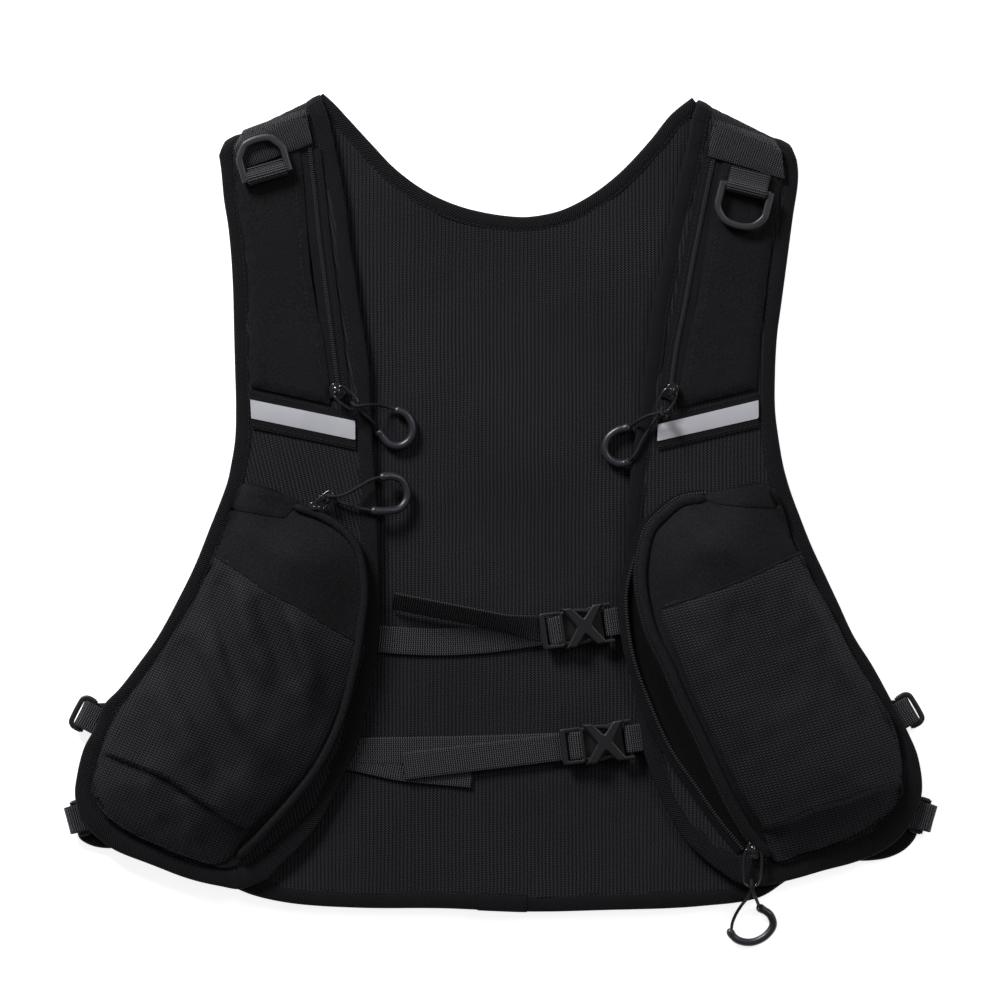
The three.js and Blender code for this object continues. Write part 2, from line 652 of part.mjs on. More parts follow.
// Both halves of the buckle lie along +X from the strap's bar, about the height of that bar.
function buckleMale() {
  const { width, barRadius } = BUCKLE;
  const { back, front, side, tineTo, tineWidth, tinePitch } = MALE;
  const wide = width - 2;
  const flat = [-barRadius, barRadius];
  const frame = cut(
    boxAlong(back, front, wide, flat),
    boxAlong(back + side, front - side, wide - 2 * side, THROUGH_PLASTIC),
  );
  const tines = [-tinePitch, 0, tinePitch].map((y) =>
    boxAlong(front - 1, tineTo, tineWidth, flat).translate(0, y, 0),
  );
  return joined(frame, roundBar(barRadius, wide - 3), ...tines);
}

function buckleFemale() {
  const { width, length, half, wall } = BUCKLE;
  const { back, cavityTo, slotFrom, slotTo, waist, waistAt, waistOut } = FEMALE;
  const cavity = boxAlong(back - 1, cavityTo, width - 4, [wall - half, half - wall]);
  const slot = boxAlong(slotFrom, slotTo, width - 6, THROUGH_PLASTIC);
  const waists = [-1, 1].map((side) =>
    roundBar(waist, width).rotateX(Math.PI / 2).translate(waistAt, side * waistOut, 0),
  );
  return cut(boxAlong(back, back + length, width, [-half, half]), cavity, slot, ...waists);
}

const onStrap = (shape, { bar, heading }) =>
  place(shape.translate(0, 0, BUCKLE.barZ), bar, heading);

// The webbing that ties the buckle's far end to the right panel.
function chestAnchor({ bar, heading }) {
  const [dx, dy] = turned(ANCHOR_BAR, 0, heading);
  const end = [bar[0] + dx, bar[1] + dy];
  const leg = edgeOn([[LAP, STRAP_MIDDLE], [ANCHOR_LEG, STRAP_MIDDLE]], LEG_THICK);
  return joined(
    halfTurn(end, heading + 180, BUCKLE.barZ, STRAP_TURN),
    band(leg, WEBBING_WIDTH, end, heading),
  );
}

// Side webbing: from the back's side edge out to the buckle's bar, round it, and in under the panel.
function sideStrap({ bar, heading, root }) {
  const { barZ, strapZ } = SIDE_BUCKLE;
  const length = Math.hypot(root[0] - bar[0], root[1] - bar[1]);
  const upperZ = 2 * barZ - strapZ;
  const lowerLeg = edgeOn([[LAP - 1, strapZ], [length, strapZ]], LEG_THICK);
  const upperLeg = edgeOn([[-SIDE_LEG, upperZ], [-LAP, upperZ]], LEG_THICK);
  return joined(
    halfTurn(bar, heading, barZ, barZ - strapZ),
    band(lowerLeg, WEBBING_WIDTH, bar, headingOf(bar, root)),
    band(upperLeg, WEBBING_WIDTH, bar, heading),
  );
}

// A rectangular side buckle: its round bar carries the webbing, the rest stands clear of it.
function sideBuckle({ bar, heading, outward }) {
  const { width, reach, rail, half, barZ } = SIDE_BUCKLE;
  const corner = 4;
  const outline = (inset) => [
    [0, -width / 2 + inset],
    ...arc(reach - corner, -width / 2 + corner, corner - inset, -90, 0, 4),
    ...arc(reach - corner, width / 2 - corner, corner - inset, 0, 90, 4),
    [0, width / 2 - inset],
  ];
  const frame = cut(
    plate(outline(0), [-half, half]),
    plate([[-5, rail - width / 2], ...outline(rail), [-5, width / 2 - rail]], [-5, 5]),
  );
  const ring = joined(frame, roundBar(half, width - 2));
  return place(ring.translate(0, 0, barZ), bar, outward ? heading : heading + 180);
}

// A runner: its body, and an arch on top for the wire.
function slider({ slider: at, heading, low }) {
  const { length, width, thick, arch, archLength, archWidth, eyeLength, eye } = SLIDER;
  const top = low + thick;
  const body = box(length, width, [low, top]);
  const bridge = cut(
    box(archLength, archWidth, [top - 0.5, top + arch]),
    box(eyeLength, archWidth + 2, [top, top + 2 * eye]),
  );
  return place(joined(body, bridge), at, heading);
}

const wireZ = ({ low }) => low + SLIDER.thick + SLIDER.eye;

// The wire link through the arch, with its near end bar on the hinge line.
function puller(pull) {
  const [width, length] = pull.wire;
  const link = (inset) => {
    const half = width / 2 - inset;
    const near = inset - PULLER_WIRE / 2;
    const far = length - inset;
    const nose = half / 2;
    return [
      [near, -half], [far - nose, -half], [far, -half + nose], [far, half - nose],
      [far - nose, half], [near, half],
    ];
  };
  const flat = plate(link(0), [-PULLER_THICK / 2, PULLER_THICK / 2], [link(PULLER_WIRE)]);
  return place(flat.translate(0, 0, wireZ(pull)), pull.slider, pull.heading);
}

// The cord's middle line, with a half turn round the far end of the wire.
function cordRoute(pull) {
  const a = THREE.MathUtils.degToRad(pull.heading);
  const reach = pull.wire[1] - PULLER_WIRE / 2;
  const turn = arc(reach, wireZ(pull), CORD_TURN, 90, 270, 4).map(([along, z]) => [
    pull.slider[0] + along * Math.cos(a),
    pull.slider[1] + along * Math.sin(a),
    z,
  ]);
  return [...pull.over, ...turn, ...pull.under];
}

// ---------------------------------------------------------------- assembly

const vest = new THREE.Group();
vest.name = 'pocket_vest';

function add(name, geometry, material) {
  const mesh = new THREE.Mesh(geometry, MATERIALS[material]());
  mesh.name = name;
  vest.add(mesh);
}

add('back_shell', backSheet(Z.shell), 'softshell');
add('back_foam', backSheet(Z.foam), 'foam');
add('back_lining', backSheet(Z.lining), 'spacer_mesh');
add('neck_binding', neckBinding(), 'binding_tape');
add('back_binding', backBinding(), 'binding_tape');

for (const [name, side] of Object.entries(SIDES)) {
  add(`${name}_front_panel`, frontPanel(side), 'spacer_mesh');
  add(`${name}_front_binding`, frontBinding(side), 'binding_tape');
  add(`${name}_shoulder_pocket`, plate(side.shoulderPocket, SHOULDER_POCKET_HEIGHTS), 'softshell');
  add(`${name}_shoulder_patch`, plate(side.patch, PATCH_HEIGHTS), 'webbing');
  add(`${name}_d_ring_loop`, dRingLoop(side.dRing), 'webbing');
  add(`${name}_d_ring`, dRing(side.dRing), 'hardware');
  add(`${name}_reflective_band`, plate(side.band, BAND_HEIGHTS), 'reflective');
  add(`${name}_chest_zip`, chestZip(side), 'zip');
  add(`${name}_pocket_body`, pocketBody(side), 'softshell');
  add(`${name}_mesh_pocket`, meshPocket(side), 'spacer_mesh');
  add(`${name}_pocket_zip`, pocketZip(side), 'zip');
  for (const [level, strap] of Object.entries(side.sideStraps)) {
    add(`${name}_side_strap_${level}`, sideStrap(strap), 'webbing');
    add(`${name}_side_buckle_${level}`, sideBuckle(strap), 'hardware');
  }
}

for (const [level, strap] of Object.entries(CHEST_STRAPS)) {
  add(`chest_strap_${level}`, chestStrap(strap), 'webbing');
  add(`chest_anchor_${level}`, chestAnchor(strap), 'webbing');
  add(`chest_buckle_male_${level}`, onStrap(buckleMale(), strap), 'hardware');
  add(`chest_buckle_female_${level}`, onStrap(buckleFemale(), strap), 'hardware');
}

for (const [name, pull] of Object.entries(PULLS)) {
  add(`${name}_slider`, slider(pull), 'hardware');
  add(`${name}_puller`, puller(pull), 'hardware');
  add(`${name}_cord`, tube(cordRoute(pull), CORD_RADIUS, 8, 18), 'cord');
  add(`${name}_grip`, tube(pull.grip, GRIP_RADIUS, 10, 14), 'grip');
}

export default vest;
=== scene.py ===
"""The looks of a pocket vest that lies on its back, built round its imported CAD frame.

Lengths inside the script are millimetres in the frame's own axes, and are turned to metres where a mesh
is made. In names, l is the side at -X and r the side at +X.
"""

import math

import bpy
import numpy as np
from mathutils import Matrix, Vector, geometry


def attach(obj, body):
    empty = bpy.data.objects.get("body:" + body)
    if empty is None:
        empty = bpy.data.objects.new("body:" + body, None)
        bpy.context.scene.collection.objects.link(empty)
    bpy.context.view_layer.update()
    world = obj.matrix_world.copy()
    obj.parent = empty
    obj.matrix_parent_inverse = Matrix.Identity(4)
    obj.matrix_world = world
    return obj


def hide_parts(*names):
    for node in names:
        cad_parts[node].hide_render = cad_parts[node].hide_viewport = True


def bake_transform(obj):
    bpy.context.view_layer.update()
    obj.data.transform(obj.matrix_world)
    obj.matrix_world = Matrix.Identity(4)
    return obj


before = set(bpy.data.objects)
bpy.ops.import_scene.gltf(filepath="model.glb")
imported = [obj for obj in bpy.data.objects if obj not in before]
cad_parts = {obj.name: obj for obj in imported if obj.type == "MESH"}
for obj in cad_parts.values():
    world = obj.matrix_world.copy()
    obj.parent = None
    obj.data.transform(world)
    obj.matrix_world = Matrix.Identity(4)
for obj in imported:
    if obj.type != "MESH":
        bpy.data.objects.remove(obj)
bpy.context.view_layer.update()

MM = 0.001

# ------------------------------------------------------------------ lines and outlines


def xyz(points):
    return np.array([list(p) + [0.0] * (3 - len(p)) for p in points], float)


def unit(v):
    v = np.asarray(v, float)
    return v / np.maximum(np.linalg.norm(v, axis=-1, keepdims=True), 1e-9)


def lengths(line):
    gaps = np.linalg.norm(np.diff(line, axis=0), axis=1)
    return np.concatenate([[0.0], np.cumsum(gaps)])


def by_length(line, step):
    """The same line with points evenly spaced along it."""
    s = lengths(line)
    t = np.linspace(0, s[-1], max(2, int(round(s[-1] / step)) + 1))
    return np.column_stack([np.interp(t, s, line[:, k]) for k in range(3)])


def smooth(points, step=2.0, closed=False):
    """Evenly spaced points on a centripetal Catmull-Rom curve through the given ones."""
    p = xyz(points)
    if closed:
        p = np.vstack([p[-1:], p, p[:2]])
    else:
        p = np.vstack([2 * p[:1] - p[1:2], p, 2 * p[-1:] - p[-2:-1]])
    parts = []
    for a, b, c, d in zip(p[:-3], p[1:-2], p[2:-1], p[3:]):
        t1 = np.linalg.norm(b - a) ** 0.5
        t2 = t1 + np.linalg.norm(c - b) ** 0.5
        t3 = t2 + np.linalg.norm(d - c) ** 0.5
        t = np.linspace(t1, t2, 10, endpoint=False)[:, None]
        ab = (t1 - t) / t1 * a + t / t1 * b
        bc = (t2 - t) / (t2 - t1) * b + (t - t1) / (t2 - t1) * c
        cd = (t3 - t) / (t3 - t2) * c + (t - t2) / (t3 - t2) * d
        abc = (t2 - t) / t2 * ab + t / t2 * bc
        bcd = (t3 - t) / (t3 - t1) * bc + (t - t1) / (t3 - t1) * cd
        parts.append((t2 - t) / (t2 - t1) * abc + (t - t1) / (t2 - t1) * bcd)
    line = by_length(np.vstack(parts + [p[-2:-1]]), step)
    return line[:-1] if closed else line


def outlined(corners):
    """A closed outline of points at every 1.5 mm through its corners."""
    corners = xyz(corners)
    return by_length(np.vstack([corners, corners[:1]]), 1.5)[:-1]


def at_height(line, height):
    return np.column_stack([line[:, :2], np.broadcast_to(height, len(line))])


def directions(line, closed=False):
    if closed:
        return unit(np.roll(line, -1, 0) - np.roll(line, 1, 0))
    return unit(np.gradient(line, axis=0))


def level_left(line):
    """Level directions across a line, to its left."""
    ahead = directions(line)
    return np.column_stack([-ahead[:, 1], ahead[:, 0], np.zeros(len(line))])


def sideways(line, distance, closed=False):
    """The line moved to its left in plan, or to its right where the distance is negative."""
    ahead = directions(line * [1, 1, 0], closed)
    out = line.copy()
    out[:, 0] -= ahead[:, 1] * distance
    out[:, 1] += ahead[:, 0] * distance
    return out


def distance_to(points, line, closed=False):
    """How far each point is, in plan, from the nearest place on a line."""
    a = line[:, :2]
    b = np.roll(a, -1, 0)
    if not closed:
        a, b = a[:-1], b[:-1]
    ab = b - a
    size = np.maximum((ab**2).sum(1), 1e-9)
    best = np.full(len(points), 1e9)
    for start in range(0, len(a), 60):
        s = slice(start, start + 60)
        ap = points[:, None, :2] - a[None, s]
        t = np.clip((ap * ab[None, s]).sum(2) / size[None, s], 0, 1)
        gap = np.linalg.norm(ap - t[..., None] * ab[None, s], axis=2).min(1)
        best = np.minimum(best, gap)
    return best


def inside(points, outline):
    x, y = points[:, 0:1], points[:, 1:2]
    x0, y0 = outline[:, 0][None], outline[:, 1][None]
    x1, y1 = np.roll(outline[:, 0], -1)[None], np.roll(outline[:, 1], -1)[None]
    crosses = ((y0 > y) != (y1 > y)) & (x < (x1 - x0) * (y - y0) / (y1 - y0 + 1e-12) + x0)
    return crosses.sum(1) % 2 == 1


def area_of(outline):
    x, y = outline[:, 0], outline[:, 1]
    return 0.5 * np.sum(x * np.roll(y, -1) - y * np.roll(x, -1))


ROW_STEP = 0.866  # from row to row of an equilateral net, over its spacing


def fill(outline, spacing):
    """A triangle net over an outline, with its inner points on a staggered grid."""
    low, high = outline[:, :2].min(0), outline[:, :2].max(0)
    grid = []
    for k, y in enumerate(np.arange(low[1], high[1], spacing * ROW_STEP)):
        xs = np.arange(low[0] + (k % 2) * spacing / 2, high[0], spacing)
        grid.append(np.column_stack([xs, np.full(len(xs), y)]))
    grid = np.vstack(grid)
    grid = grid[inside(grid, outline)]
    grid = grid[distance_to(grid, outline, closed=True) > spacing * 0.55]
    points = [Vector(p) for p in np.vstack([outline[:, :2], grid])]
    net = geometry.delaunay_2d_cdt(points, [], [list(range(len(outline)))], 1, 1e-5)
    return np.array([tuple(v) for v in net[0]]), [tuple(f) for f in net[2]]


def rise(distance, width):
    """0 at an edge and 1 from width inwards, round like a quarter circle."""
    t = 1 - np.clip(distance / width, 0, 1)
    return np.sqrt(np.maximum(0, 1 - t * t))


def ease(t):
    """0 up to 0, 1 from 1 on, and smooth between them."""
    t = np.clip(t, 0, 1)
    return t * t * (3 - 2 * t)


def bell(distance, width):
    """1 at no distance, and down to nearly 0 at twice the width."""
    return np.exp(-((distance / width) ** 2))


WAVES = 7


def waves(points, size, seed):
    """Smooth unevenness from -1 to 1, with features about as long as size."""
    rng = np.random.default_rng(seed)
    total = np.zeros(len(points))
    for _ in range(WAVES):
        a = rng.uniform(0, math.tau)
        k = math.tau / size * rng.uniform(0.5, 1.3)
        along = points[:, 0] * math.cos(a) + points[:, 1] * math.sin(a)
        total += np.sin(along * k + rng.uniform(0, math.tau))
    return total / WAVES * 1.6


# ------------------------------------------------------------------ meshes

MATERIALS = {}


def piece(name, verts, faces, look, body="root", replaces=(), weave=None, sharp=50):
    """A new piece of the object, in place and riding on its body."""
    mesh = bpy.data.meshes.new(name)
    mesh.from_pydata(np.asarray(verts) * MM, [], faces)
    mesh.shade_smooth()
    mesh.set_sharp_from_angle(angle=math.radians(sharp))
    if weave is not None:
        layer = mesh.attributes.new("weave", "FLOAT_VECTOR", "POINT")
        layer.data.foreach_set("vector", (np.asarray(weave) * MM).astype(np.float32).ravel())
    obj = bpy.data.objects.new(name, mesh)
    bpy.context.scene.collection.objects.link(obj)
    mesh.materials.append(MATERIALS[look][0])
    if replaces:
        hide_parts(*replaces)
    if body:
        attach(obj, body)
    return obj


def slab_net(outline, spacing, top, thick):
    """Vertices and faces of a closed cloth over an outline. thick is a number or a function."""
    if area_of(outline) < 0:
        outline = outline[::-1]
    flat, tris = fill(outline, spacing)
    high = top(flat)
    low = high - (thick(flat) if callable(thick) else thick)
    n = len(flat)
    verts = np.vstack([np.column_stack([flat, high]), np.column_stack([flat, low])])
    faces = [tuple(t) for t in tris] + [tuple(i + n for i in reversed(t)) for t in tris]
    edges = dict.fromkeys((a, b) for t in tris for a, b in zip(t, t[1:] + t[:1]))
    faces += [(b, a, a + n, b + n) for a, b in edges if (b, a) not in edges]
    return verts, faces


def slab(name, outline, spacing, top, thick, look, bend=None, **more):
    verts, faces = slab_net(outline, spacing, top, thick)
    bent = verts if bend is None else bend(verts)
    return piece(name, bent, faces, look, weave=verts, **more)


def sweep_net(path, profile, side=None, closed=False, scale=None):
    """A closed profile of (sideways, up) points carried along a path."""
    t = directions(path, closed)
    if side is None:
        side = unit(np.column_stack([-t[:, 1], t[:, 0], np.zeros(len(t))]))
    else:
        side = unit(np.broadcast_to(np.asarray(side, float), path.shape))
    up = unit(np.cross(t, side))
    n, m = len(path), profile.shape[-2]
    shape = np.broadcast_to(profile, (n, m, 2))
    if scale is not None:
        shape = shape * np.asarray(scale)[:, None, None]
    verts = path[:, None] + shape[..., :1] * side[:, None] + shape[..., 1:] * up[:, None]
    faces = []
    for i in range(n if closed else n - 1):
        k = (i + 1) % n
        for j in range(m):
            q = (j + 1) % m
            faces.append((i * m + j, i * m + q, k * m + q, k * m + j))
    if not closed:
        faces += [tuple(reversed(range(m))), tuple((n - 1) * m + j for j in range(m))]
    weave = np.column_stack([np.tile(lengths(shape[0]), n), np.repeat(lengths(path), m), np.zeros(n * m)])
    return verts.reshape(-1, 3), faces, weave


def sweep(name, path, profile, look, bend=None, side=None, closed=False, scale=None, **more):
    verts, faces, weave = sweep_net(path, profile, side, closed, scale)
    bent = verts if bend is None else bend(verts)
    return piece(name, bent, faces, look, weave=weave, **more)


def turned_sides(path):
    """Sideways directions along a line in space that turn with it and don't twist."""
    ahead = directions(path)
    side = np.zeros_like(path)
    start = np.cross(ahead[0], [0, 0, 1])
    side[0] = unit(start if np.linalg.norm(start) >= 0.1 else np.cross(ahead[0], [0, 1, 0]))
    for i in range(1, len(path)):
        side[i] = unit(side[i - 1] - ahead[i] * np.dot(side[i - 1], ahead[i]))
    return side


def oval(width, height, count=16, square=1.0):
    """A closed outline of (sideways, up) points, squarer where square is below 1."""
    a = np.linspace(0, math.tau, count, endpoint=False)
    c, s = np.cos(a), np.sin(a)
    c = np.sign(c) * np.abs(c) ** square
    s = np.sign(s) * np.abs(s) ** square
    return np.column_stack([c * width / 2, s * height / 2])


def flat_band(width, thick, count=12):
    """The outline of a webbing across its length: flat faces and round edges."""
    half, flat = thick / 2, width / 2 - 0.35
    x = np.linspace(-flat, flat, count)
    right = [[width / 2, -half * 0.5], [width / 2 + 0.05, 0], [width / 2, half * 0.5]]
    left = [[-p[0], -p[1]] for p in right]
    return np.array([[v, -half] for v in x] + right + [[v, half] for v in x[::-1]] + left)


def merged(parts):
    """Several nets of (vertices, faces and perhaps weave) as one."""
    verts, faces, weave, start = [], [], [], 0
    for v, f, *w in parts:
        verts.append(v)
        faces += [tuple(i + start for i in face) for face in f]
        weave.append(w[0] if w else v)
        start += len(v)
    return np.vstack(verts), faces, np.vstack(weave)


BEAD_SIDES = 6


def beads(places, heads, length, radius, rings=3):
    """Many small capsules as one net: each at a place, pointing along its head."""
    heads = unit(heads)
    side = unit(np.cross(heads, np.broadcast_to([0, 0, 1.0], heads.shape)))
    up = np.cross(side, heads)
    ring = []
    for u in np.linspace(-1, 1, rings + 2)[1:-1]:
        r = radius * math.sqrt(max(0.0, 1 - u**4))
        for k in range(BEAD_SIDES):
            a = math.tau * k / BEAD_SIDES
            ring.append([u * length / 2, r * math.cos(a), r * math.sin(a)])
    bead = np.array([[-length / 2, 0, 0]] + ring + [[length / 2, 0, 0]])
    m = len(bead)
    faces = []
    for k in range(BEAD_SIDES):
        q = (k + 1) % BEAD_SIDES
        faces.append((0, 1 + q, 1 + k))
        for r in range(rings - 1):
            a, b = 1 + r * BEAD_SIDES, 1 + (r + 1) * BEAD_SIDES
            faces.append((a + k, a + q, b + q, b + k))
        last = 1 + (rings - 1) * BEAD_SIDES
        faces.append((m - 1, last + k, last + q))
    verts = places[:, None]
    for k, axis in enumerate((heads, side, up)):
        verts = verts + bead[None, :, k : k + 1] * axis[:, None]
    all_faces = [tuple(i + n * m for i in f) for n in range(len(places)) for f in faces]
    return verts.reshape(-1, 3), all_faces


STITCH = {"pitch": 2.9, "length": 2.1, "radius": 0.24}


def sew(name, lines, bend=None):
    """Thread stitches along lines in space, as one piece."""
    parts = []
    for line in lines:
        line = by_length(line, STITCH["pitch"])
        middle = (line[1:] + line[:-1]) / 2
        parts.append(beads(middle, line[1:] - line[:-1], STITCH["length"], STITCH["radius"]))
    verts, faces, _ = merged(parts)
    piece(f"{name}_stitches", verts if bend is None else bend(verts), faces, "thread")


def zip_teeth(name, line, length, radius):
    """A zip's coil, as a bead across its line for each turn."""
    verts, faces = beads(line, level_left(line), length, radius, rings=4)
    piece(name, verts, faces, "coil")


# ------------------------------------------------------------------ materials


class Nodes:
    """Short ways to add nodes to one material."""

    def __init__(self, name):
        self.material = bpy.data.materials.new(name)
        self.material.use_nodes = True
        self.tree = self.material.node_tree
        self.shader = self.tree.nodes["Principled BSDF"]

    def add(self, kind, **settings):
        node = self.tree.nodes.new(kind)
        for key, value in settings.items():
            setattr(node, key, value)
        return node

    def put(self, socket, value):
        if isinstance(value, bpy.types.NodeSocket):
            self.tree.links.new(value, socket)
        else:
            socket.default_value = value

    def math(self, operation, *values):
        node = self.add("ShaderNodeMath", operation=operation)
        for socket, value in zip(node.inputs, values):
            self.put(socket, value)
        return node.outputs[0]

    def wave(self, value, pitch, phase=0.0):
        """From 0 to 1 and back once for every pitch, in millimetres."""
        turned = self.math("MULTIPLY_ADD", value, math.tau / (pitch * MM), phase)
        return self.math("MULTIPLY_ADD", self.math("COSINE", turned), 0.5, 0.5)

    def clamped(self, value):
        node = self.add("ShaderNodeClamp")
        self.put(node.inputs[0], value)
        return node.outputs[0]

    def cloth_place(self):
        return self.add("ShaderNodeAttribute", attribute_name="weave").outputs["Vector"]

    def weave(self, turn=0.0):
        """The cloth's own two directions, turned by an angle."""
        split = self.add("ShaderNodeSeparateXYZ")
        self.put(split.inputs[0], self.cloth_place())
        x, y = split.outputs[0], split.outputs[1]
        if not turn:
            return x, y
        c, s = math.cos(math.radians(turn)), math.sin(math.radians(turn))
        across = self.math("MULTIPLY_ADD", x, c, self.math("MULTIPLY", y, s))
        along = self.math("MULTIPLY_ADD", y, c, self.math("MULTIPLY", x, -s))
        return across, along

    def noise(self, scale, detail=2.0):
        node = self.add("ShaderNodeTexNoise")
        place = self.add("ShaderNodeTexCoord")
        self.put(node.inputs["Vector"], place.outputs["Object"])
        node.inputs["Scale"].default_value = scale
        node.inputs["Detail"].default_value = detail
        return node.outputs["Fac"]

    def colour(self, share, dark, light):
        """The base colour, from dark at a share of 0 to light at 1."""
        node = self.add("ShaderNodeMix", data_type="RGBA")
        self.put(node.inputs[0], share)
        self.put(node.inputs[6], (*dark, 1))
        self.put(node.inputs[7], (*light, 1))
        self.put(self.shader.inputs["Base Color"], node.outputs[2])

    def bump(self, height, distance, strength=1.0):
        node = self.add("ShaderNodeBump")
        node.inputs["Distance"].default_value = distance * MM
        node.inputs["Strength"].default_value = strength
        self.put(node.inputs["Height"], height)
        self.put(self.shader.inputs["Normal"], node.outputs[0])

    def finish(self, look, slot, roughness, specular, sheen=0.0, sheen_tint=(1, 1, 1), metallic=0.0):
        s = self.shader.inputs
        s["Roughness"].default_value = roughness
        s["Specular IOR Level"].default_value = specular
        s["Metallic"].default_value = metallic
        s["Sheen Weight"].default_value = sheen
        s["Sheen Roughness"].default_value = 0.5
        s["Sheen Tint"].default_value = (*sheen_tint, 1)
        MATERIALS[look] = (self.material, slot)


def grey(level, blue=1.2):
    return (level, level * 1.02, level * blue)


# Ribs and rows of holes in knitted mesh, each as cycles a millimetre both ways and a weight.
BACK_KNIT = [
    ((0.484, 0), 0.34), ((0.44, 0.775), 0.4), ((0.86, 0), 0.14), ((0.049, -0.767), 0.2),
    ((0.533, -0.767), 0.26),
]
L_POCKET_KNIT = [((0.682, 0.469), 0.52), ((0.242, 0.675), 0.44), ((0.44, -0.205), 0.26)]
R_POCKET_KNIT = [((0.164, -0.653), 0.44), ((0.582, -0.504), 0.46), ((0.418, 0.149), 0.2)]


def spacer_mesh(look, knit, turn=0.0):
    """Knitted mesh: the sum of its knit's waves, turned by an angle and made slightly uneven."""
    n = Nodes(look)
    place = n.cloth_place()
    drift = n.add("ShaderNodeTexNoise")
    n.put(drift.inputs["Vector"], place)
    drift.inputs["Scale"].default_value = 30
    uneven = n.add("ShaderNodeVectorMath", operation="MULTIPLY_ADD")
    for socket, value in zip(uneven.inputs, (drift.outputs["Color"], (0.0016, 0.0016, 0), place)):
        n.put(socket, value)
    height = 0.5
    c, s = math.cos(math.radians(turn)), math.sin(math.radians(turn))
    for (kx, ky), weight in knit:
        along = n.add("ShaderNodeVectorMath", operation="DOT_PRODUCT")
        n.put(along.inputs[0], uneven.outputs[0])
        cycles = (kx * c - ky * s, kx * s + ky * c, 0)
        along.inputs[1].default_value = [v * math.tau / MM for v in cycles]
        height = n.math("MULTIPLY_ADD", n.math("COSINE", along.outputs["Value"]), weight, height)
    fuzz = n.math("MULTIPLY_ADD", n.noise(1900), 0.7, -0.35)
    cloudy = n.math("MULTIPLY_ADD", n.noise(14, 3), 0.3, -0.15)
    share = n.clamped(n.math("ADD", height, n.math("ADD", fuzz, cloudy)))
    n.colour(share, grey(0.0001), grey(0.032))
    n.bump(n.math("ADD", height, n.math("MULTIPLY", fuzz, 0.3)), 0.08)
    n.finish(look, "spacer_mesh", 0.8, 0.1)


def softshell(look, level=0.0086):
    """Smooth stretch cloth: a fine plain weave with almost no relief."""
    n = Nodes(look)
    across, along = n.weave(45)
    fine = n.math("MULTIPLY", n.wave(across, 0.55), n.wave(along, 0.55))
    cloudy = n.math("MULTIPLY_ADD", n.noise(9, 4), 0.5, 0.25)
    speck = n.math("MULTIPLY_ADD", n.noise(1500, 3), 3.4, -1.7)
    share = n.math("ADD", speck, n.math("MULTIPLY_ADD", fine, 0.35, n.math("MULTIPLY", cloudy, 0.65)))
    n.colour(share, grey(level * 0.4), grey(level * 1.6))
    n.bump(n.math("ADD", fine, n.math("MULTIPLY", n.noise(700), 0.5)), 0.09)
    n.finish(look, "softshell", 0.72, 0.12)


def twill(look, level=0.0105, pitch=1.2, turn=32):
    """Edge tape and band cloth: slanting ridges across their own direction."""
    n = Nodes(look)
    across, along = n.weave(turn)
    ridge = n.wave(along, pitch)
    cross = n.wave(across, pitch * 0.8)
    fuzz = n.noise(2400)
    height = n.math("MULTIPLY_ADD", cross, 0.3, ridge)
    share = n.math("MULTIPLY_ADD", height, 0.55, n.math("MULTIPLY_ADD", fuzz, 0.7, -0.3))
    n.colour(share, grey(level * 0.1), grey(level * 1.9))
    n.bump(n.math("ADD", height, fuzz), 0.3)
    n.finish(look, "binding_tape", 0.8, 0.13)


def webbing(look, level=0.04, rib=1.28, lane=2.3, zigzag=0.22):
    """Webbing: ribs across it, each bent into a zigzag by the lanes along it."""
    n = Nodes(look)
    across, along = n.weave()
    lanes = n.wave(across, lane)
    bent = n.math("MULTIPLY_ADD", lanes, zigzag * rib * MM, along)
    ribs = n.wave(bent, rib)
    rows = n.wave(across, lane / 2)
    height = n.math("MULTIPLY_ADD", rows, 0.35, ribs)
    fuzz = n.noise(2100)
    sharp = n.math("MULTIPLY_ADD", height, 1.5, n.math("MULTIPLY_ADD", fuzz, 0.9, -1.05))
    n.colour(n.clamped(sharp), grey(level * 0.03), grey(level * 1.9, 1.15))
    n.bump(height, 0.45)
    n.finish(look, "webbing", 0.6, 0.22)


def plastic(look, slot, level, roughness, specular=0.5, relief=0.01, metallic=0.0, blue=1.2):
    """Moulded plastic with a faint bump texture and a base colour slightly lighter and darker in broad
    patches.
    """
    n = Nodes(look)
    fine = n.noise(3200)
    share = n.math("MULTIPLY_ADD", n.noise(60, 3), 0.6, 0.2)
    n.colour(share, grey(level * 0.7, blue), grey(level * 1.3, blue))
    n.bump(fine, relief)
    n.finish(look, slot, roughness, specular, metallic=metallic)


def thread(look, slot, level):
    """Braided cord or sewing thread."""
    n = Nodes(look)
    fine = n.noise(2600, 3)
    n.colour(fine, grey(level * 0.5), grey(level * 1.6))
    n.bump(fine, 0.12)
    n.finish(look, slot, 0.7, 0.2)


def reflective(look):
    """Silver tape: glass beads in an even grey."""
    n = Nodes(look)
    fine = n.noise(2600)
    broad = n.noise(25, 3)
    share = n.math("MULTIPLY_ADD", fine, 0.5, n.math("MULTIPLY", broad, 0.5))
    n.colour(share, (0.34, 0.34, 0.375), (0.6, 0.6, 0.655))
    n.bump(fine, 0.03)
    n.finish(look, "reflective", 0.5, 0.5)


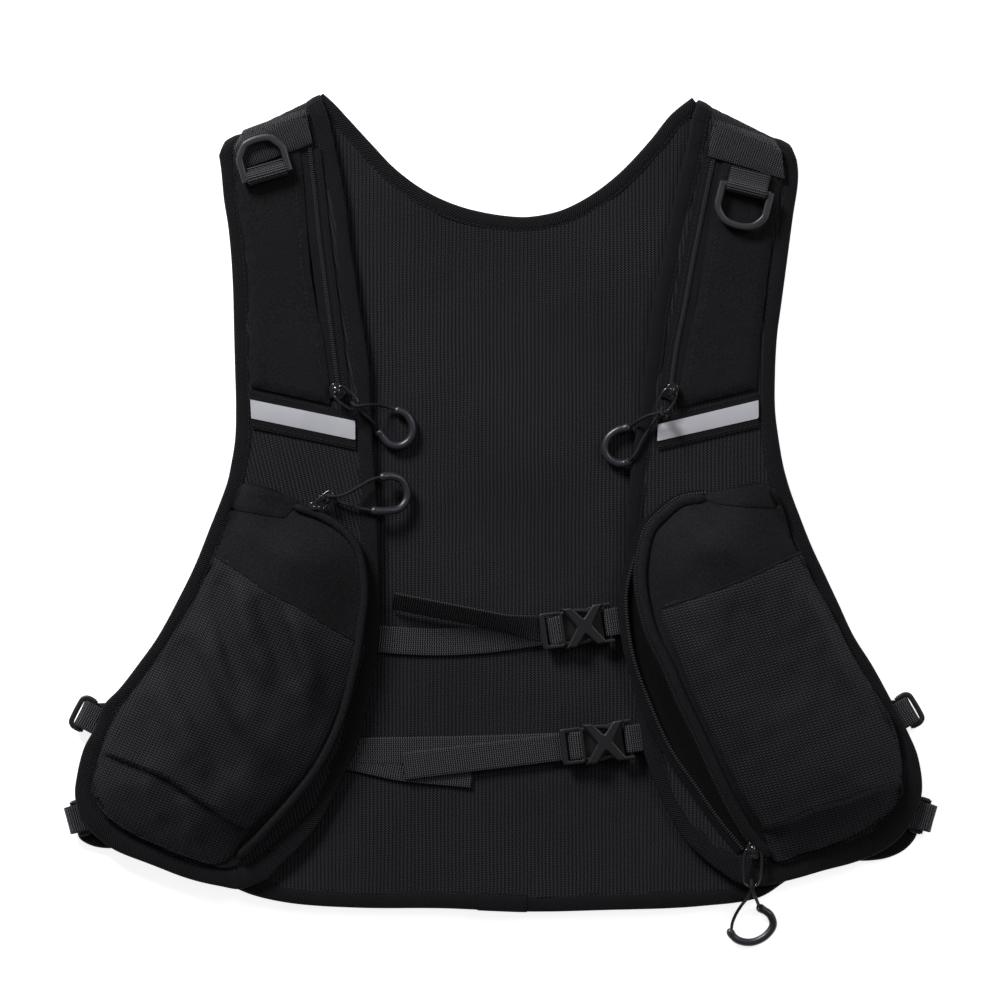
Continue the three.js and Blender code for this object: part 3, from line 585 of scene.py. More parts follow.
spacer_mesh("lining_mesh", BACK_KNIT)
spacer_mesh("l_panel_mesh", BACK_KNIT, turn=13.5)
spacer_mesh("r_panel_mesh", BACK_KNIT)
spacer_mesh("l_pocket_mesh", L_POCKET_KNIT)
spacer_mesh("r_pocket_mesh", R_POCKET_KNIT)
softshell("softshell")
# A copy of the softshell at about a quarter of its level: black cloth made darker still as painted shade, for
# the open pocket's inside, the back's corners under the front panels and the padding between the back's
# layers.
softshell("painted_shade_cloth", 0.0022)
twill("binding")
twill("band_cloth", level=0.011, pitch=1.0, turn=50)
webbing("webbing")
webbing("patch_webbing", level=0.03, rib=1.3, lane=1.5, zigzag=0.4)
plastic("buckle", "hardware", 0.012, 0.4, 0.4)
plastic("ring", "hardware", 0.028, 0.36)
plastic("runner", "hardware", 0.016, 0.15, 0.9, 0.002, metallic=0.25)
plastic("loop_grip", "grip", 0.02, 0.36, 0.6, blue=1.45)
plastic("coil", "zip", 0.017, 0.45, 0.4)
plastic("zip_tape", "zip", 0.006, 0.8, 0.1, 0.1)
thread("braid", "cord", 0.012)
thread("thread", "binding_tape", 0.016)
reflective("silver")


# ------------------------------------------------------------------ the vest's outlines and sizes


# Heights of the layers, from the floor up.
SHELL_TOP, LINING_TOP, PANEL_TOP, BINDING_TOP, APPLIQUE = 1.4, 7.6, 12.6, 13.0, 13.3
SHOULDER_TOP = APPLIQUE + 2.1
RING_BAR = SHOULDER_TOP + 0.3 + 1.2 + 1.9 + 0.3
STRAP_Z, BUCKLE_BAR = 8.5, 12.5

# The roll over each shoulder: the height of its middle, its radius and how far its foot reaches.
FOLD_Z, FOLD_RADIUS, FOLD_DEPTH = 6.5, 6.5, 14.0
BACK_START = FOLD_DEPTH + 0.4  # how far from a shoulder line the back's layers start

# Widths of the edge tapes and of the webbing.
BINDING, INNER_BINDING, WEBBING = 9.0, 9.8, 15.0

CORD_RADIUS, CORD_TURN, GRIP_RADIUS, WIRE = 0.9, 3.0, 2.2, 1.4
RUNNER = {"length": 9.5, "width": 7, "thick": 2, "eye": 1.2}

# How far the male buckle's inner bar and the socket's bar are from the male buckle's own bar.
SLIDE_BAR, SOCKET_BAR = 6.2, 34.4


SIDES = {
    "l": {
        "towards": -1,
        "shoulder": [(-98.2, 225.8), (-152.2, 199.4)],
        "lean": (0.2, 1.0),
        "under_lean": (-0.52, 0.4),
        "edge": [
            (-155.2, 193), (-153.7, 182.9), (-152.1, 166.4), (-149.9, 152.6), (-148.2, 136.1),
            (-147.1, 116.9), (-146.6, 94.9), (-146, 72.9), (-145.5, 50.9), (-146, 34.4), (-148.2, 20.6),
            (-149.9, 12.4), (-153.7, 1.4), (-159.2, -12.4), (-168, -34.4), (-177.4, -53.6),
            (-188.9, -74.5), (-198.3, -87.7), (-209.3, -102), (-218.6, -111.9), (-222.9, -123.5),
            (-229.1, -135), (-232.9, -149.9), (-234, -160.9), (-230.2, -174.6), (-221.9, -184),
            (-212, -191.1), (-192.8, -198.8), (-170.8, -207.1), (-154.3, -210.9), (-143.3, -212.6),
            (-137.8, -210.9), (-129.5, -207.6), (-118.5, -197.7), (-107.5, -186.7), (-97.6, -173.5),
            (-89.9, -158.1), (-83.9, -146), (-78.4, -133.4), (-74, -115.2), (-70.1, -97.6),
            (-67.4, -78.4), (-66.3, -53.6), (-66.8, -31.6), (-67.4, -9.6), (-68.5, 12.4), (-70.1, 34.4),
            (-71.2, 56.4), (-71.8, 72.9), (-74.5, 92.1), (-77.3, 108.6), (-79.5, 125.1), (-82.2, 141.6),
            (-83.9, 158.1), (-86.6, 174.6), (-90.5, 193.9), (-93.2, 206), (-95.6, 215),
        ],
        "seam": [
            (-147.1, 199.4), (-144.9, 177.4), (-143.3, 152.6), (-139.4, 136.1), (-138.3, 111.4),
            (-137.8, 67.4), (-136.7, 34.4), (-138.9, 17.9), (-141.6, 10.7), (-146.6, -4.1),
            (-153.2, -20.6), (-155.9, -28.9), (-165.3, -48.1), (-176.3, -66.3), (-187.3, -83.9),
            (-198.3, -99.3), (-209.3, -114.1), (-217.5, -130.6), (-221.9, -147.1), (-223.6, -155.4),
            (-219.2, -168), (-209.3, -176.8), (-192.8, -185.6), (-170.8, -194.4), (-155.9, -199.9),
            (-143, -200), (-128, -190),
        ],
        "armhole": [
            (-152.2, 199.4), (-151, 166), (-146.5, 136), (-144, 73), (-144, 34), (-148, 5),
            (-156, -30), (-161, -80), (-162, -130), (-158, -180), (-149, -211),
        ],
        "flap": [
            (-143.3, 194), (-110.3, 206), (-110.3, 195), (-108.1, 174.6), (-106.4, 152.6),
            (-104.2, 125.1), (-100.9, 105.9), (-97.1, 89.4), (-93.8, 64), (-93.8, 54),
            (-137.5, 63.6), (-138.3, 111.4), (-139.4, 136), (-143.3, 160), (-144.9, 180),
        ],
        "flap_edge": [
            (-110.3, 195), (-108.1, 174.6), (-106.4, 152.6), (-104.2, 125.1), (-100.9, 105.9),
            (-97.1, 89.4), (-93.2, 64.6),
        ],
        "coil": [
            (-104.6, 194), (-103.2, 181), (-101.5, 166.4), (-99.3, 144.4), (-96.5, 122.4),
            (-92.6, 92), (-88.4, 58),
        ],
        "patch": [(-147.1, 202.5), (-107, 215.6), (-103.2, 197), (-144.4, 181.6)],
        "backing": [(-137.4, 62.1), (-79.8, 49.4), (-79.3, 28.9), (-136.9, 41)],
        "silver": [(-137.4, 56.6), (-79.8, 44.8), (-79.8, 34.4), (-136.9, 46.3)],
        "ring": {"bar": (-127.9, 179.8), "tilt": 16, "root": 6.2, "flipped": True, "size": (28.6, 21.8)},
        "pocket": [
            (-141.6, 10.7), (-113, 3), (-98, -6), (-86.5, -13.5), (-79, -22), (-75, -34.4),
            (-73.6, -50.9), (-75.3, -67), (-77.8, -83.9), (-86, -116.9), (-97, -141.6), (-113, -163.6),
            (-129.5, -181.2), (-147.7, -200.6), (-170.8, -195.2), (-192.8, -186.4), (-209.9, -177.6),
            (-220, -168.4), (-224.2, -155.4), (-218.2, -130.4), (-210, -114), (-188, -83.6),
            (-166, -47.8), (-153.4, -20.4),
        ],
        "zip": [
            (-113, -0.6), (-97, -6.6), (-86, -13.6), (-78.4, -22.6), (-74.6, -34.2), (-73.2, -50.9),
            (-75, -67.4), (-77.4, -83.9), (-85.6, -117.1), (-96.8, -141.9), (-112.9, -163.8),
            (-129, -181.6), (-143, -195.5),
        ],
        "rim": [
            (-147.7, -200), (-170.8, -193.6), (-192.8, -184.8), (-209.3, -176), (-218.4, -167),
            (-222.4, -155.4), (-217, -130.6), (-208.3, -114.1), (-186.3, -83.9), (-164.5, -48.1),
            (-152.4, -20.6), (-141.6, 10.7),
        ],
        "tab": [
            (-141.6, 10.7), (-113, 3), (-110.6, 0.2), (-116.4, -6), (-118, -8.6), (-132.3, -6.2),
            (-147.4, -3.6),
        ],
        "overlay": [
            (-155.9, -29.4), (-140.5, -38.8), (-126.8, -48.1), (-110.3, -56.9), (-93.8, -67.4),
            (-79.6, -75.6), (-80.6, -86.6), (-87.6, -109.2), (-95.9, -129.6), (-106.9, -148),
            (-120.2, -163.2), (-136.4, -178.4), (-153.4, -198), (-170.8, -194.6), (-192.8, -185.8),
            (-209.5, -177), (-219.4, -168), (-223.6, -155.4), (-221.9, -147), (-217.5, -130.6),
            (-209.3, -114.1), (-198.3, -99.3), (-187.3, -83.9), (-176.3, -66.3), (-165.3, -48.1),
        ],
        "pleat": [
            (-224, -135), (-217.5, -137.2), (-198.3, -143.8), (-181.8, -149.9), (-168, -159.8),
            (-154.3, -168), (-143.3, -175.7), (-136, -181),
        ],
        "overlay_top": [
            (-155.9, -29.4), (-140.5, -38.8), (-126.8, -48.1), (-110.3, -56.9), (-93.8, -67.4),
            (-80.3, -75.2),
        ],
        "straps": {
            "upper": {"bar": (-227.3, -117.6), "heading": 152.5, "root": (-163.6, -118), "outward": True},
            "lower": {"bar": (-233.9, -174.3), "heading": 195.5, "root": (-161, -178), "outward": False},
        },
    },
    "r": {
        "towards": 1,
        "shoulder": [(105.9, 223.6), (157.4, 198.6)],
        "lean": (0.2, 1.0),
        "under_lean": (-0.7, 0.4),
        "edge": [
            (162.4, 191.2), (163.6, 182.9), (163.4, 174.6), (160.9, 158.1), (158.7, 141.6),
            (156.5, 125.1), (154.3, 108.6), (152.1, 92.1), (151, 72.9), (151, 50.9), (152.6, 37.1),
            (155.4, 20.6), (159.2, 6.9), (165.3, -9.6), (170.8, -23.4), (178.5, -39.9), (186.2, -56.4),
            (193.9, -72.9), (204.3, -89.4), (214.2, -107.5), (224.8, -127.9), (229.6, -140),
            (231.8, -158.1), (228.5, -170.8), (219.7, -184), (208.7, -192.2), (195, -197.7),
            (178.5, -202.1), (159.2, -207.6), (142.7, -210.9), (134.5, -210.4), (126.2, -206.5),
            (112.5, -196.6), (101.5, -185.6), (92.1, -170.2), (83.9, -152.6), (77.8, -133.4),
            (75.1, -115.2), (72.3, -97.6), (70.1, -64.6), (68.5, -31.6), (68.5, -6.9), (70.7, 9.6),
            (72.9, 28.9), (76.7, 50.9), (78.4, 67.4), (80.6, 83.9), (82.2, 100.4), (85, 116.9),
            (88.3, 130.6), (91.6, 147.1), (94.9, 163.6), (99.3, 182.9), (103.1, 199.4), (105.3, 212),
        ],
        "seam": [
            (153.7, 197.7), (155.9, 188.4), (155.9, 177.4), (152.6, 160.9), (148.8, 138.9),
            (145.5, 111.4), (142.7, 89.4), (142.2, 56.4), (142.7, 34.4), (146, 17.9), (149.9, 4.1),
            (156.5, -12.4), (163.6, -26.1), (171.3, -42.6), (182.3, -61.9), (193.3, -83.9),
            (204.3, -102), (214.2, -118.5), (218.6, -133.4), (219.7, -155.4), (214.2, -169.1),
            (200.5, -178.5), (184, -186.7), (164.7, -192.8), (145.5, -200), (132, -196),
        ],
        "armhole": [
            (157.4, 198.6), (159, 175), (156, 142), (149.5, 92), (148.5, 51), (152, 20), (159, -15),
            (166, -60), (169, -110), (167, -160), (158, -208),
        ],
        "flap": [
            (153, 194), (123.5, 203), (121.8, 187.3), (116.3, 166.4), (112.5, 138.9), (108.1, 111.4),
            (102.6, 86.6), (97.6, 60), (97.6, 52.2), (140.5, 62.6), (142.2, 89.4), (145, 111.4),
            (148.3, 138.9), (152.2, 161), (154.6, 184),
        ],
        "flap_edge": [
            (123, 196), (121.8, 187.3), (116.3, 166.4), (112.5, 138.9), (108.1, 111.4),
            (102.6, 86.6), (97.1, 59.1),
        ],
        "coil": [
            (118.2, 194), (113.6, 172), (109.7, 152.6), (104.8, 127.9), (100.9, 105.9), (96.5, 83.9),
            (92.9, 57.4),
        ],
        "patch": [(116.9, 210.6), (153.7, 197.5), (155.7, 177.5), (113.7, 190.2)],
        "backing": [(86.2, 47.6), (141.3, 60.9), (141.8, 41.4), (85.9, 28.7)],
        "silver": [(86.4, 42.9), (141.6, 56.2), (141.7, 46.3), (86, 33.7)],
        "ring": {"bar": (134.8, 171.6), "tilt": -14, "root": 10.8, "flipped": False, "size": (30.6, 22.4)},
        "pocket": [
            (147, 10.6), (112.5, 4.7), (98.7, 1.4), (87.7, -6.9), (80.6, -15.1), (76.4, -31.6),
            (76.4, -48), (82.2, -72.9), (90.5, -89.4), (98.7, -108.6), (108.1, -127.9), (116.9, -147.1),
            (127.3, -168), (138.3, -185.6), (148, -195.6), (167, -191.5), (184, -186), (200.5, -177.8),
            (213.5, -168.4), (218.8, -155.4), (217.8, -133.4), (203.5, -102), (181.5, -61.9),
            (162.8, -26.1),
        ],
        "zip": [
            (112.5, 3.6), (98.7, 1.4), (87.7, -6.9), (80.6, -15.1), (76.4, -31.6), (75.7, -42),
            (77.6, -56.4), (82.4, -72.9), (90.5, -89.4), (98.7, -108.6), (108.1, -127.9),
            (116.9, -147.1), (127.3, -168), (138.3, -185.6), (146.4, -194.6),
        ],
        "rim": [
            (148, -195.6), (167, -191.5), (184, -186), (200.5, -177.8), (213.5, -168.4), (218.8, -155.4),
            (217.8, -133.4), (203.5, -102), (181.5, -61.9), (162.8, -26.1), (147, 10.6),
        ],
        "tab": [
            (147.4, 11.2), (112.5, 4.8), (111, 2.4), (117.4, -0.6), (134, -2.4), (152.2, -2.7),
        ],
        "overlay": [
            (88.2, -57.4), (109.7, -50.3), (131.7, -42.1), (153.7, -32.2), (163.6, -27.8),
            (171.3, -42.6), (182.3, -61.9), (193.3, -83.9), (204.3, -102), (214.2, -118.5),
            (218.6, -133.4), (219.7, -155.4), (214.2, -169.1), (200.5, -178.5), (184, -186.7),
            (164.7, -192.8), (150, -196.4), (144.4, -181.4), (134.3, -164), (121, -137.6),
            (108.9, -112.6), (98.6, -86.6),
        ],
        "pleat": [
            (138, -181), (145.5, -179), (156.5, -174.6), (171.3, -167.5), (186.7, -163.6),
            (200.5, -158.1), (218.6, -154.3), (224, -152),
        ],
        "overlay_top": [
            (88.2, -57.4), (109.7, -50.3), (131.7, -42.1), (153.7, -32.2), (163.6, -27.8),
        ],
        "straps": {
            "upper": {"bar": (222.9, -115.8), "heading": 30.3, "root": (171.6, -118), "outward": True},
            "lower": {"bar": (233.9, -173.2), "heading": -16.3, "root": (168.4, -176), "outward": False},
        },
    },
}


NECKLINE = [
    (-98.2, 225.8), (-92.1, 220.4), (-82.8, 210.4), (-70.1, 196.6), (-58, 184), (-41.5, 171.9),
    (-25, 164.2), (-8.5, 159.8), (8, 157.6), (16.2, 157.6), (32.7, 160.9), (49.2, 169.1),
    (65.7, 181.8), (82.2, 199.4), (94, 214), (105.9, 223.6),
]
HEM = [
    (-149, -211), (-137.8, -215.9), (-115.8, -220.8), (-77.3, -223.4), (-33.3, -223.6),
    (16.2, -225.5), (54.7, -224.7), (109.7, -222.5), (142.7, -217.6), (158, -208),
]


# The corners of the back that show below the front panels.
WINGS = {
    "l": [(-234, -178), (-232.5, -185), (-226, -189.2), (-217, -190.8), (-204, -190)],
    "r": [(190, -197.4), (204, -197.6), (215, -195.6), (224, -190.8), (229.8, -183), (230, -176)],
}


# The half of the open zip that stays on the front panel.
BACK_TEETH = [
    (98, 0.5), (86, -8.5), (78.5, -17.5), (75.2, -26.1), (69.8, -45.4), (69, -56.4), (72.6, -83.9),
    (81.2, -108.6), (93.2, -135), (107, -155.4), (119.6, -173.5), (132.8, -190),
]


# slider is where a runner's arch stands, heading is the way its wire lies, low is the runner's
# underside and wire is the wire's size (across, along). aside is how far the runner stands across its
# heading, on its wire's hinge line. The cord goes from one socket of the finger loop (over) round the
# wire's far end and back to the other socket (under).
PULLS = {
    "l_chest": {
        "slider": (-89.4, 61.4), "heading": -40, "low": 15.7, "wire": (7.6, 14), "aside": 0,
        "over": [(-58, 51.2, 10.1), (-62, 52.6, 10.6), (-66, 53.2, 13.2), (-70, 53.6, 17.8), (-75, 53.2, 21)],
        "under": [(-76.2, 49.8, 15.3), (-72.4, 46.4, 15), (-69.2, 43.4, 14), (-67.6, 39.8, 10.8)],
        "grip": [
            (-57, 50.8, 10.1), (-52.2, 48.8, 10.1), (-49, 44.4, 10.1), (-48.2, 39, 10.1),
            (-50.4, 34, 10.1), (-55.4, 31.2, 10.1), (-61, 32.2, 10.1), (-66.6, 38.6, 10.1),
        ],
    },
    "l_pocket": {
        "slider": (-101.4, 2.8), "heading": 4, "low": 15.3, "wire": (7.6, 10), "aside": -5.6,
        "over": [(-66, 13.9, 15.8), (-71, 12.4, 17), (-78, 8.4, 19), (-85, 4.6, 20.8), (-89, 3.4, 21.4)],
        "under": [
            (-90, 1.4, 15.6), (-86, -0.6, 15.4), (-80, -2.6, 15.4), (-75, -3.6, 15.6), (-70.8, -4.4, 15.8),
        ],
        "grip": [
            (-65, 14, 15.8), (-60, 14.5, 14.6), (-54.4, 12.4, 12.9), (-51.4, 7, 11.9),
            (-51.6, 1.6, 11.9), (-55.4, -3.2, 13.1), (-62, -4.6, 14.9), (-69.8, -4.5, 15.9),
        ],
    },
    "r_chest": {
        "slider": (93.7, 61), "heading": -119, "low": 15.7, "wire": (7.6, 14), "aside": 0,
        "over": [(71.4, 41.8, 10.3), (73, 43, 13), (76, 45, 17.6), (80.6, 47.6, 21)],
        "under": [
            (84.6, 45, 15.6), (80.6, 39, 14.9), (77.2, 33, 14.8), (74.8, 28, 14.8), (72.8, 25, 14.6),
            (71, 23.2, 12.9),
        ],
        "grip": [
            (70.4, 41.4, 10.1), (64, 39.6, 10.1), (59, 35.4, 10.1), (57.4, 29.6, 10.1),
            (59.4, 24.6, 10.1), (64.4, 21.6, 10.3), (69.8, 22, 11.2),
        ],
    },
    "r_pocket": {
        "slider": (138.4, -190.6), "heading": -93, "low": 15.3, "wire": (9, 20), "aside": 0,
        "over": [(142.6, -222.8, 3.4), (141.6, -220.4, 8.6), (140.2, -217.4, 14.6), (138.4, -213.4, 20.4)],
        "under": [
            (137, -213.6, 15.2), (135.6, -217.4, 11.6), (133.2, -221.4, 5.6), (130.2, -226.8, 1.6),
            (128, -232, 1.6), (127.4, -235.6, 2.1),
        ],
        "grip": [
            (143.4, -223.8, 2.5), (148.6, -227.4, 2.5), (150.4, -233, 2.5), (146.4, -239, 2.5),
            (138.6, -242.6, 2.5), (131, -241.4, 2.5), (127, -237.4, 2.5),
        ],
    },
}


# Where a cord has a knot, in plan.
KNOTS = {"l_pocket": (-95.4, 2.5), "r_chest": (90, 48.1)}


CHEST_STRAPS = {
    "upper": {"start": (-84, -73), "bar": (25.6, -70.6), "heading": 8, "tail_heading": 168.9, "tail": 86,
              "tail_lift": 5.2, "tilt": 52, "sag": 5},
    "lower": {"start": (-90, -137), "bar": (36.8, -134), "heading": 7, "tail_heading": 187, "tail": 91,
              "tail_lift": 0, "tilt": 0, "sag": 0.6},
}


# ------------------------------------------------------------------ camera, floor and light


CAMERA_HEIGHT, LENS = 2.2, 36 * 2.19 / 0.55  # metres, millimetres
FLOOR_HEIGHT, FLOOR_REACH = -0.0004, 6
LIGHTS = {"key": ((-1.2, 1.8, 1.3), 66), "fill": ((1.3, 0.9, 1.7), 9)}  # metres, watts


def set_camera():
    camera = bpy.data.objects.new("camera", bpy.data.cameras.new("camera"))
    bpy.context.scene.collection.objects.link(camera)
    camera.location = (-0.0003, 0.0014, CAMERA_HEIGHT)
    camera.data.lens = LENS
    bpy.context.scene.camera = camera


def area_light(name, at, power):
    light = bpy.data.lights.new(name, "AREA")
    light.shape, light.size, light.energy = "DISK", 0.8, power
    lamp = bpy.data.objects.new(name, light)
    bpy.context.scene.collection.objects.link(lamp)
    lamp.location = at
    lamp.rotation_euler = (-Vector(at)).to_track_quat("-Z", "Y").to_euler()


def set_stage():
    """A white floor, two lamps and a weak even light from all round."""
    bpy.context.scene.view_settings.view_transform = "Standard"
    floor = bpy.data.meshes.new("floor")
    square = ((-1, -1), (1, -1), (1, 1), (-1, 1))
    corners = [(x * FLOOR_REACH, y * FLOOR_REACH, FLOOR_HEIGHT) for x, y in square]
    floor.from_pydata(corners, [], [(0, 1, 2, 3)])
    ground = bpy.data.objects.new("floor", floor)
    bpy.context.scene.collection.objects.link(ground)
    pale = Nodes("floor")
    for socket, value in {
        "Base Color": (0.86, 0.86, 0.86, 1), "Roughness": 1, "Specular IOR Level": 0,
        "Emission Color": (1, 1, 1, 1), "Emission Strength": 0.82,
    }.items():
        pale.shader.inputs[socket].default_value = value
    floor.materials.append(pale.material)
    for name, (at, power) in LIGHTS.items():
        area_light(name, at, power)
    world = bpy.data.worlds.new("world")
    world.use_nodes = True
    background = world.node_tree.nodes["Background"]
    background.inputs["Color"].default_value = (1, 1, 1, 1)
    background.inputs["Strength"].default_value = 0.14
    bpy.context.scene.world = world


# ------------------------------------------------------------------ cords and finger loops


def wire_height(pull):
    return pull["low"] + RUNNER["thick"] + RUNNER["eye"]


def heading_unit(heading):
    a = math.radians(heading)
    return np.array([math.cos(a), math.sin(a)])


def cord_route(pull):
    """The cord's middle line and the middle of its half turn round the wire."""
    ahead = heading_unit(pull["heading"])
    reach, high = pull["wire"][1] - WIRE / 2, wire_height(pull)
    turn = []
    for angle in np.radians(np.linspace(90, 270, 5)):
        x, y = np.array(pull["slider"]) + ahead * (reach + CORD_TURN * math.cos(angle))
        turn.append((x, y, high + CORD_TURN * math.sin(angle)))
    return [*pull["over"], *turn, *pull["under"]], turn[2]


def cord(name, pull, body):
    points, turn = cord_route(pull)
    line = smooth(points, 0.8)
    data = bpy.data.curves.new(f"{name}_braid", "CURVE")
    data.dimensions = "3D"
    data.bevel_depth = CORD_RADIUS * MM
    data.bevel_resolution = 4
    data.use_fill_caps = True
    spline = data.splines.new("POLY")
    spline.points.add(len(line) - 1)
    for point, place in zip(spline.points, line * MM):
        point.co = (*place, 1)
    data.materials.append(MATERIALS["braid"][0])
    obj = bpy.data.objects.new(f"{name}_braid", data)
    bpy.context.scene.collection.objects.link(obj)
    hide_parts(f"{name}_cord")
    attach(obj, body)
    return obj, line, turn


def finger_loop(name, pull, body):
    """A moulded tube bent round for one finger, with a collar where each cord end goes in."""
    line = smooth([pull["over"][0], *pull["grip"], pull["under"][-1]], 0.9)
    s = lengths(line)
    near_end = np.minimum(s, s[-1] - s)
    size = 1 + 0.12 * np.exp(-((near_end / 3.2) ** 4)) - 0.35 * bell(near_end, 0.7)
    size = size * (1 - 0.05 * bell(near_end - 4.4, 0.5))
    tube = oval(2 * GRIP_RADIUS, 2 * GRIP_RADIUS, 20)
    return sweep(
        f"{name}_finger_loop", line, tube, "loop_grip", side=turned_sides(line), scale=size,
        body=body, replaces=[f"{name}_grip"],
    )


def knot(name, line, body):
    """An overhand knot tied in the cord, beside a place on its middle line."""
    t = np.linspace(0, math.tau, 73)[:-1]
    turns = [np.sin(t) + 2 * np.sin(2 * t), np.cos(t) - 2 * np.cos(2 * t), -1.4 * np.sin(3 * t)]
    near = line[np.argmin(np.linalg.norm(line[:, :2] - KNOTS[name], axis=1))]
    path = 0.75 * np.column_stack(turns) + [*KNOTS[name], near[2] + 0.6]
    return sweep(
        f"{name}_knot", path, oval(1.7, 1.7, 10), "braid", side=turned_sides(path), closed=True, body=body,
    )


def all_cords():
    for name, pull in PULLS.items():
        body = f"{name}_pull"
        loop = finger_loop(name, pull, body)
        obj, line, turn = cord(name, pull, body)
        tied = [knot(name, line, body)] if name in KNOTS else []


# ------------------------------------------------------------------ small hard parts


def rounded(points, radius):
    """An outline with every corner rounded off."""
    p = [np.array(q, float) for q in points]
    out = []
    for i, corner in enumerate(p):
        a, b = p[i - 1], p[(i + 1) % len(p)]
        r = min(radius, np.linalg.norm(a - corner) / 2.1, np.linalg.norm(b - corner) / 2.1)
        start, end = corner + unit(a - corner) * r, corner + unit(b - corner) * r
        for t in np.linspace(0, 1, 6):
            out.append((1 - t) ** 2 * start + 2 * t * (1 - t) * corner + t * t * end)
    return np.array(out)


def plate_net(loops, low, high, bevel):
    """A flat plate with rounded edges: its outer outline first, then its holes."""
    data = bpy.data.curves.new("plate", "CURVE")
    data.dimensions = "2D"
    data.fill_mode = "BOTH"
    data.extrude = ((high - low) / 2 - bevel) * MM
    data.bevel_depth = bevel * MM
    data.bevel_resolution = 2
    data.offset = -bevel * MM
    for loop in loops:
        spline = data.splines.new("POLY")
        spline.use_cyclic_u = True
        spline.points.add(len(loop) - 1)
        for point, place in zip(spline.points, loop):
            point.co = (place[0] * MM, place[1] * MM, 0, 1)
    obj = bpy.data.objects.new("plate", data)
    bpy.context.scene.collection.objects.link(obj)
    bpy.context.view_layer.update()
    mesh = bpy.data.meshes.new_from_object(obj.evaluated_get(bpy.context.evaluated_depsgraph_get()))
    verts = np.zeros(len(mesh.vertices) * 3)
    mesh.vertices.foreach_get("co", verts)
    verts = verts.reshape(-1, 3) / MM + [0, 0, (low + high) / 2]
    faces = [tuple(f.vertices) for f in mesh.polygons]
    bpy.data.objects.remove(obj)
    bpy.data.curves.remove(data)
    bpy.data.meshes.remove(mesh)
    return verts, faces


def placed(net, at, heading, height=0.0):
    verts, faces, *rest = net
    c, s = heading_unit(heading)
    x, y = verts[:, 0] * c - verts[:, 1] * s + at[0], verts[:, 0] * s + verts[:, 1] * c + at[1]
    return (np.column_stack([x, y, verts[:, 2] + height]), faces, *rest)


def bar_net(path, profile, **more):
    """A swept net without its weave."""
    return sweep_net(path, profile, **more)[:2]


def rod_net(start, end, radius):
    path = by_length(np.array([start, end], float), 1.0)
    return bar_net(path, oval(2 * radius, 2 * radius), side=turned_sides(path))


def box_net(x, y, corner, low, high, bevel):
    """A plate with rounded corners, from its lowest and highest x and y."""
    return plate_net([rounded(box_outline(*x, *y), corner)], low, high, bevel)


def box_outline(x0, x1, y0, y1):
    return [(x0, y0), (x1, y0), (x1, y1), (x0, y1)]


def hard_piece(name, nets, at, heading, height, look, body, replaces):
    """Nets in a part's own frame, put in place as one piece."""
    verts, faces, weave = merged([placed(net, at, heading, height) for net in nets])
    piece(name, verts, faces, look, body=body, replaces=[replaces], weave=weave, sharp=40)


def runner(name, pull):
    low, half, wide = pull["low"], RUNNER["length"] / 2, RUNNER["width"] / 2
    top = low + RUNNER["thick"]
    shield = rounded([(-half, -1.6), (-half + 2, -wide), (half - 1, -wide), (half, -2.2), (half, 2.2),
                      (half - 1, wide), (-half + 2, wide), (-half, 1.6)], 1.2)
    hoop = smooth([(-3.1, 0, top - 0.2), (-2.9, 0, top + 1.9), (-1.2, 0, top + 3.1), (1.2, 0, top + 3.1),
                   (2.9, 0, top + 1.9), (3.1, 0, top - 0.2)], 0.4)
    nets = [
        plate_net([shield], low, low + 0.9, 0.3),
        plate_net([shield * 0.96], top - 0.9, top, 0.35),
        box_net((-half + 1.2, half - 2.6), (-1.3, 1.3), 0.6, low + 0.5, top - 0.5, 0.2),
        bar_net(hoop, oval(2.2, 1.0, 12, 0.7), side=(0, 1, 0)),
    ]
    nets = [(verts + [0, pull["aside"], 0], faces) for verts, faces in nets]
    body = "root" if name == "r_pocket" else f"{name}_runner"
    hard_piece(f"{name}_runner", nets, pull["slider"], pull["heading"], 0, "runner", body, f"{name}_slider")


def wire_puller(name, pull):
    """The wire link that the cord is looped through, slanted where its runner stands aside."""
    width, length = pull["wire"]
    half, far = width / 2 - WIRE / 2, length - WIRE / 2
    nose = half * 0.55
    path = smooth(
        [(0, 0), (0, -half), (far - nose, -half), (far, -half + nose), (far, half - nose),
         (far - nose, half), (0, half)], 0.5, closed=True,
    )
    path[:, 2] = wire_height(pull)
    path[:, 1] += pull["aside"] * np.clip(1 - path[:, 0] / (far - 1.5), 0, 1)
    net = bar_net(path, oval(WIRE, WIRE, 12), closed=True)
    hard_piece(
        f"{name}_wire", [net], pull["slider"], pull["heading"], 0, "runner", f"{name}_pull", f"{name}_puller",
    )


def d_ring(name, ring):
    width, depth = ring["size"]
    half, deep = width / 2 - 1.9, depth - 1.9
    bow = [(-half, 0), (-half, deep - 14), (-half + 0.3, deep - 8), (-half + 3.2, deep - 3.5),
           (-7, deep - 1.2), (0, deep), (7, deep - 1.2), (half - 3.2, deep - 3.5),
           (half - 0.3, deep - 8), (half, deep - 14), (half, 0)]
    path = smooth(bow, 0.8)
    path = np.vstack([[path[0] - [0, 1.2, 0]], path, [path[-1] - [0, 1.2, 0]]])
    nets = [bar_net(path, oval(3.8, 3.7, 20, 0.55)), rod_net((-half, 0, 0), (half, 0, 0), 1.9)]
    heading = ring["tilt"] if ring["flipped"] else ring["tilt"] + 180
    hard_piece(
        f"{name}_steel_ring", nets, ring["bar"], heading, RING_BAR, "ring", f"{name}_d_ring",
        f"{name}_d_ring",
    )


def in_plane(points, at, heading):
    """A line of (distance along a heading, height) as points in space."""
    a = heading_unit(heading)
    return np.array([[at[0] + a[0] * p[0], at[1] + a[1] * p[0], p[1]] for p in points])


def cross_of(heading):
    """The level direction across a heading, to its left."""
    a = heading_unit(heading)
    return (-a[1], a[0], 0)


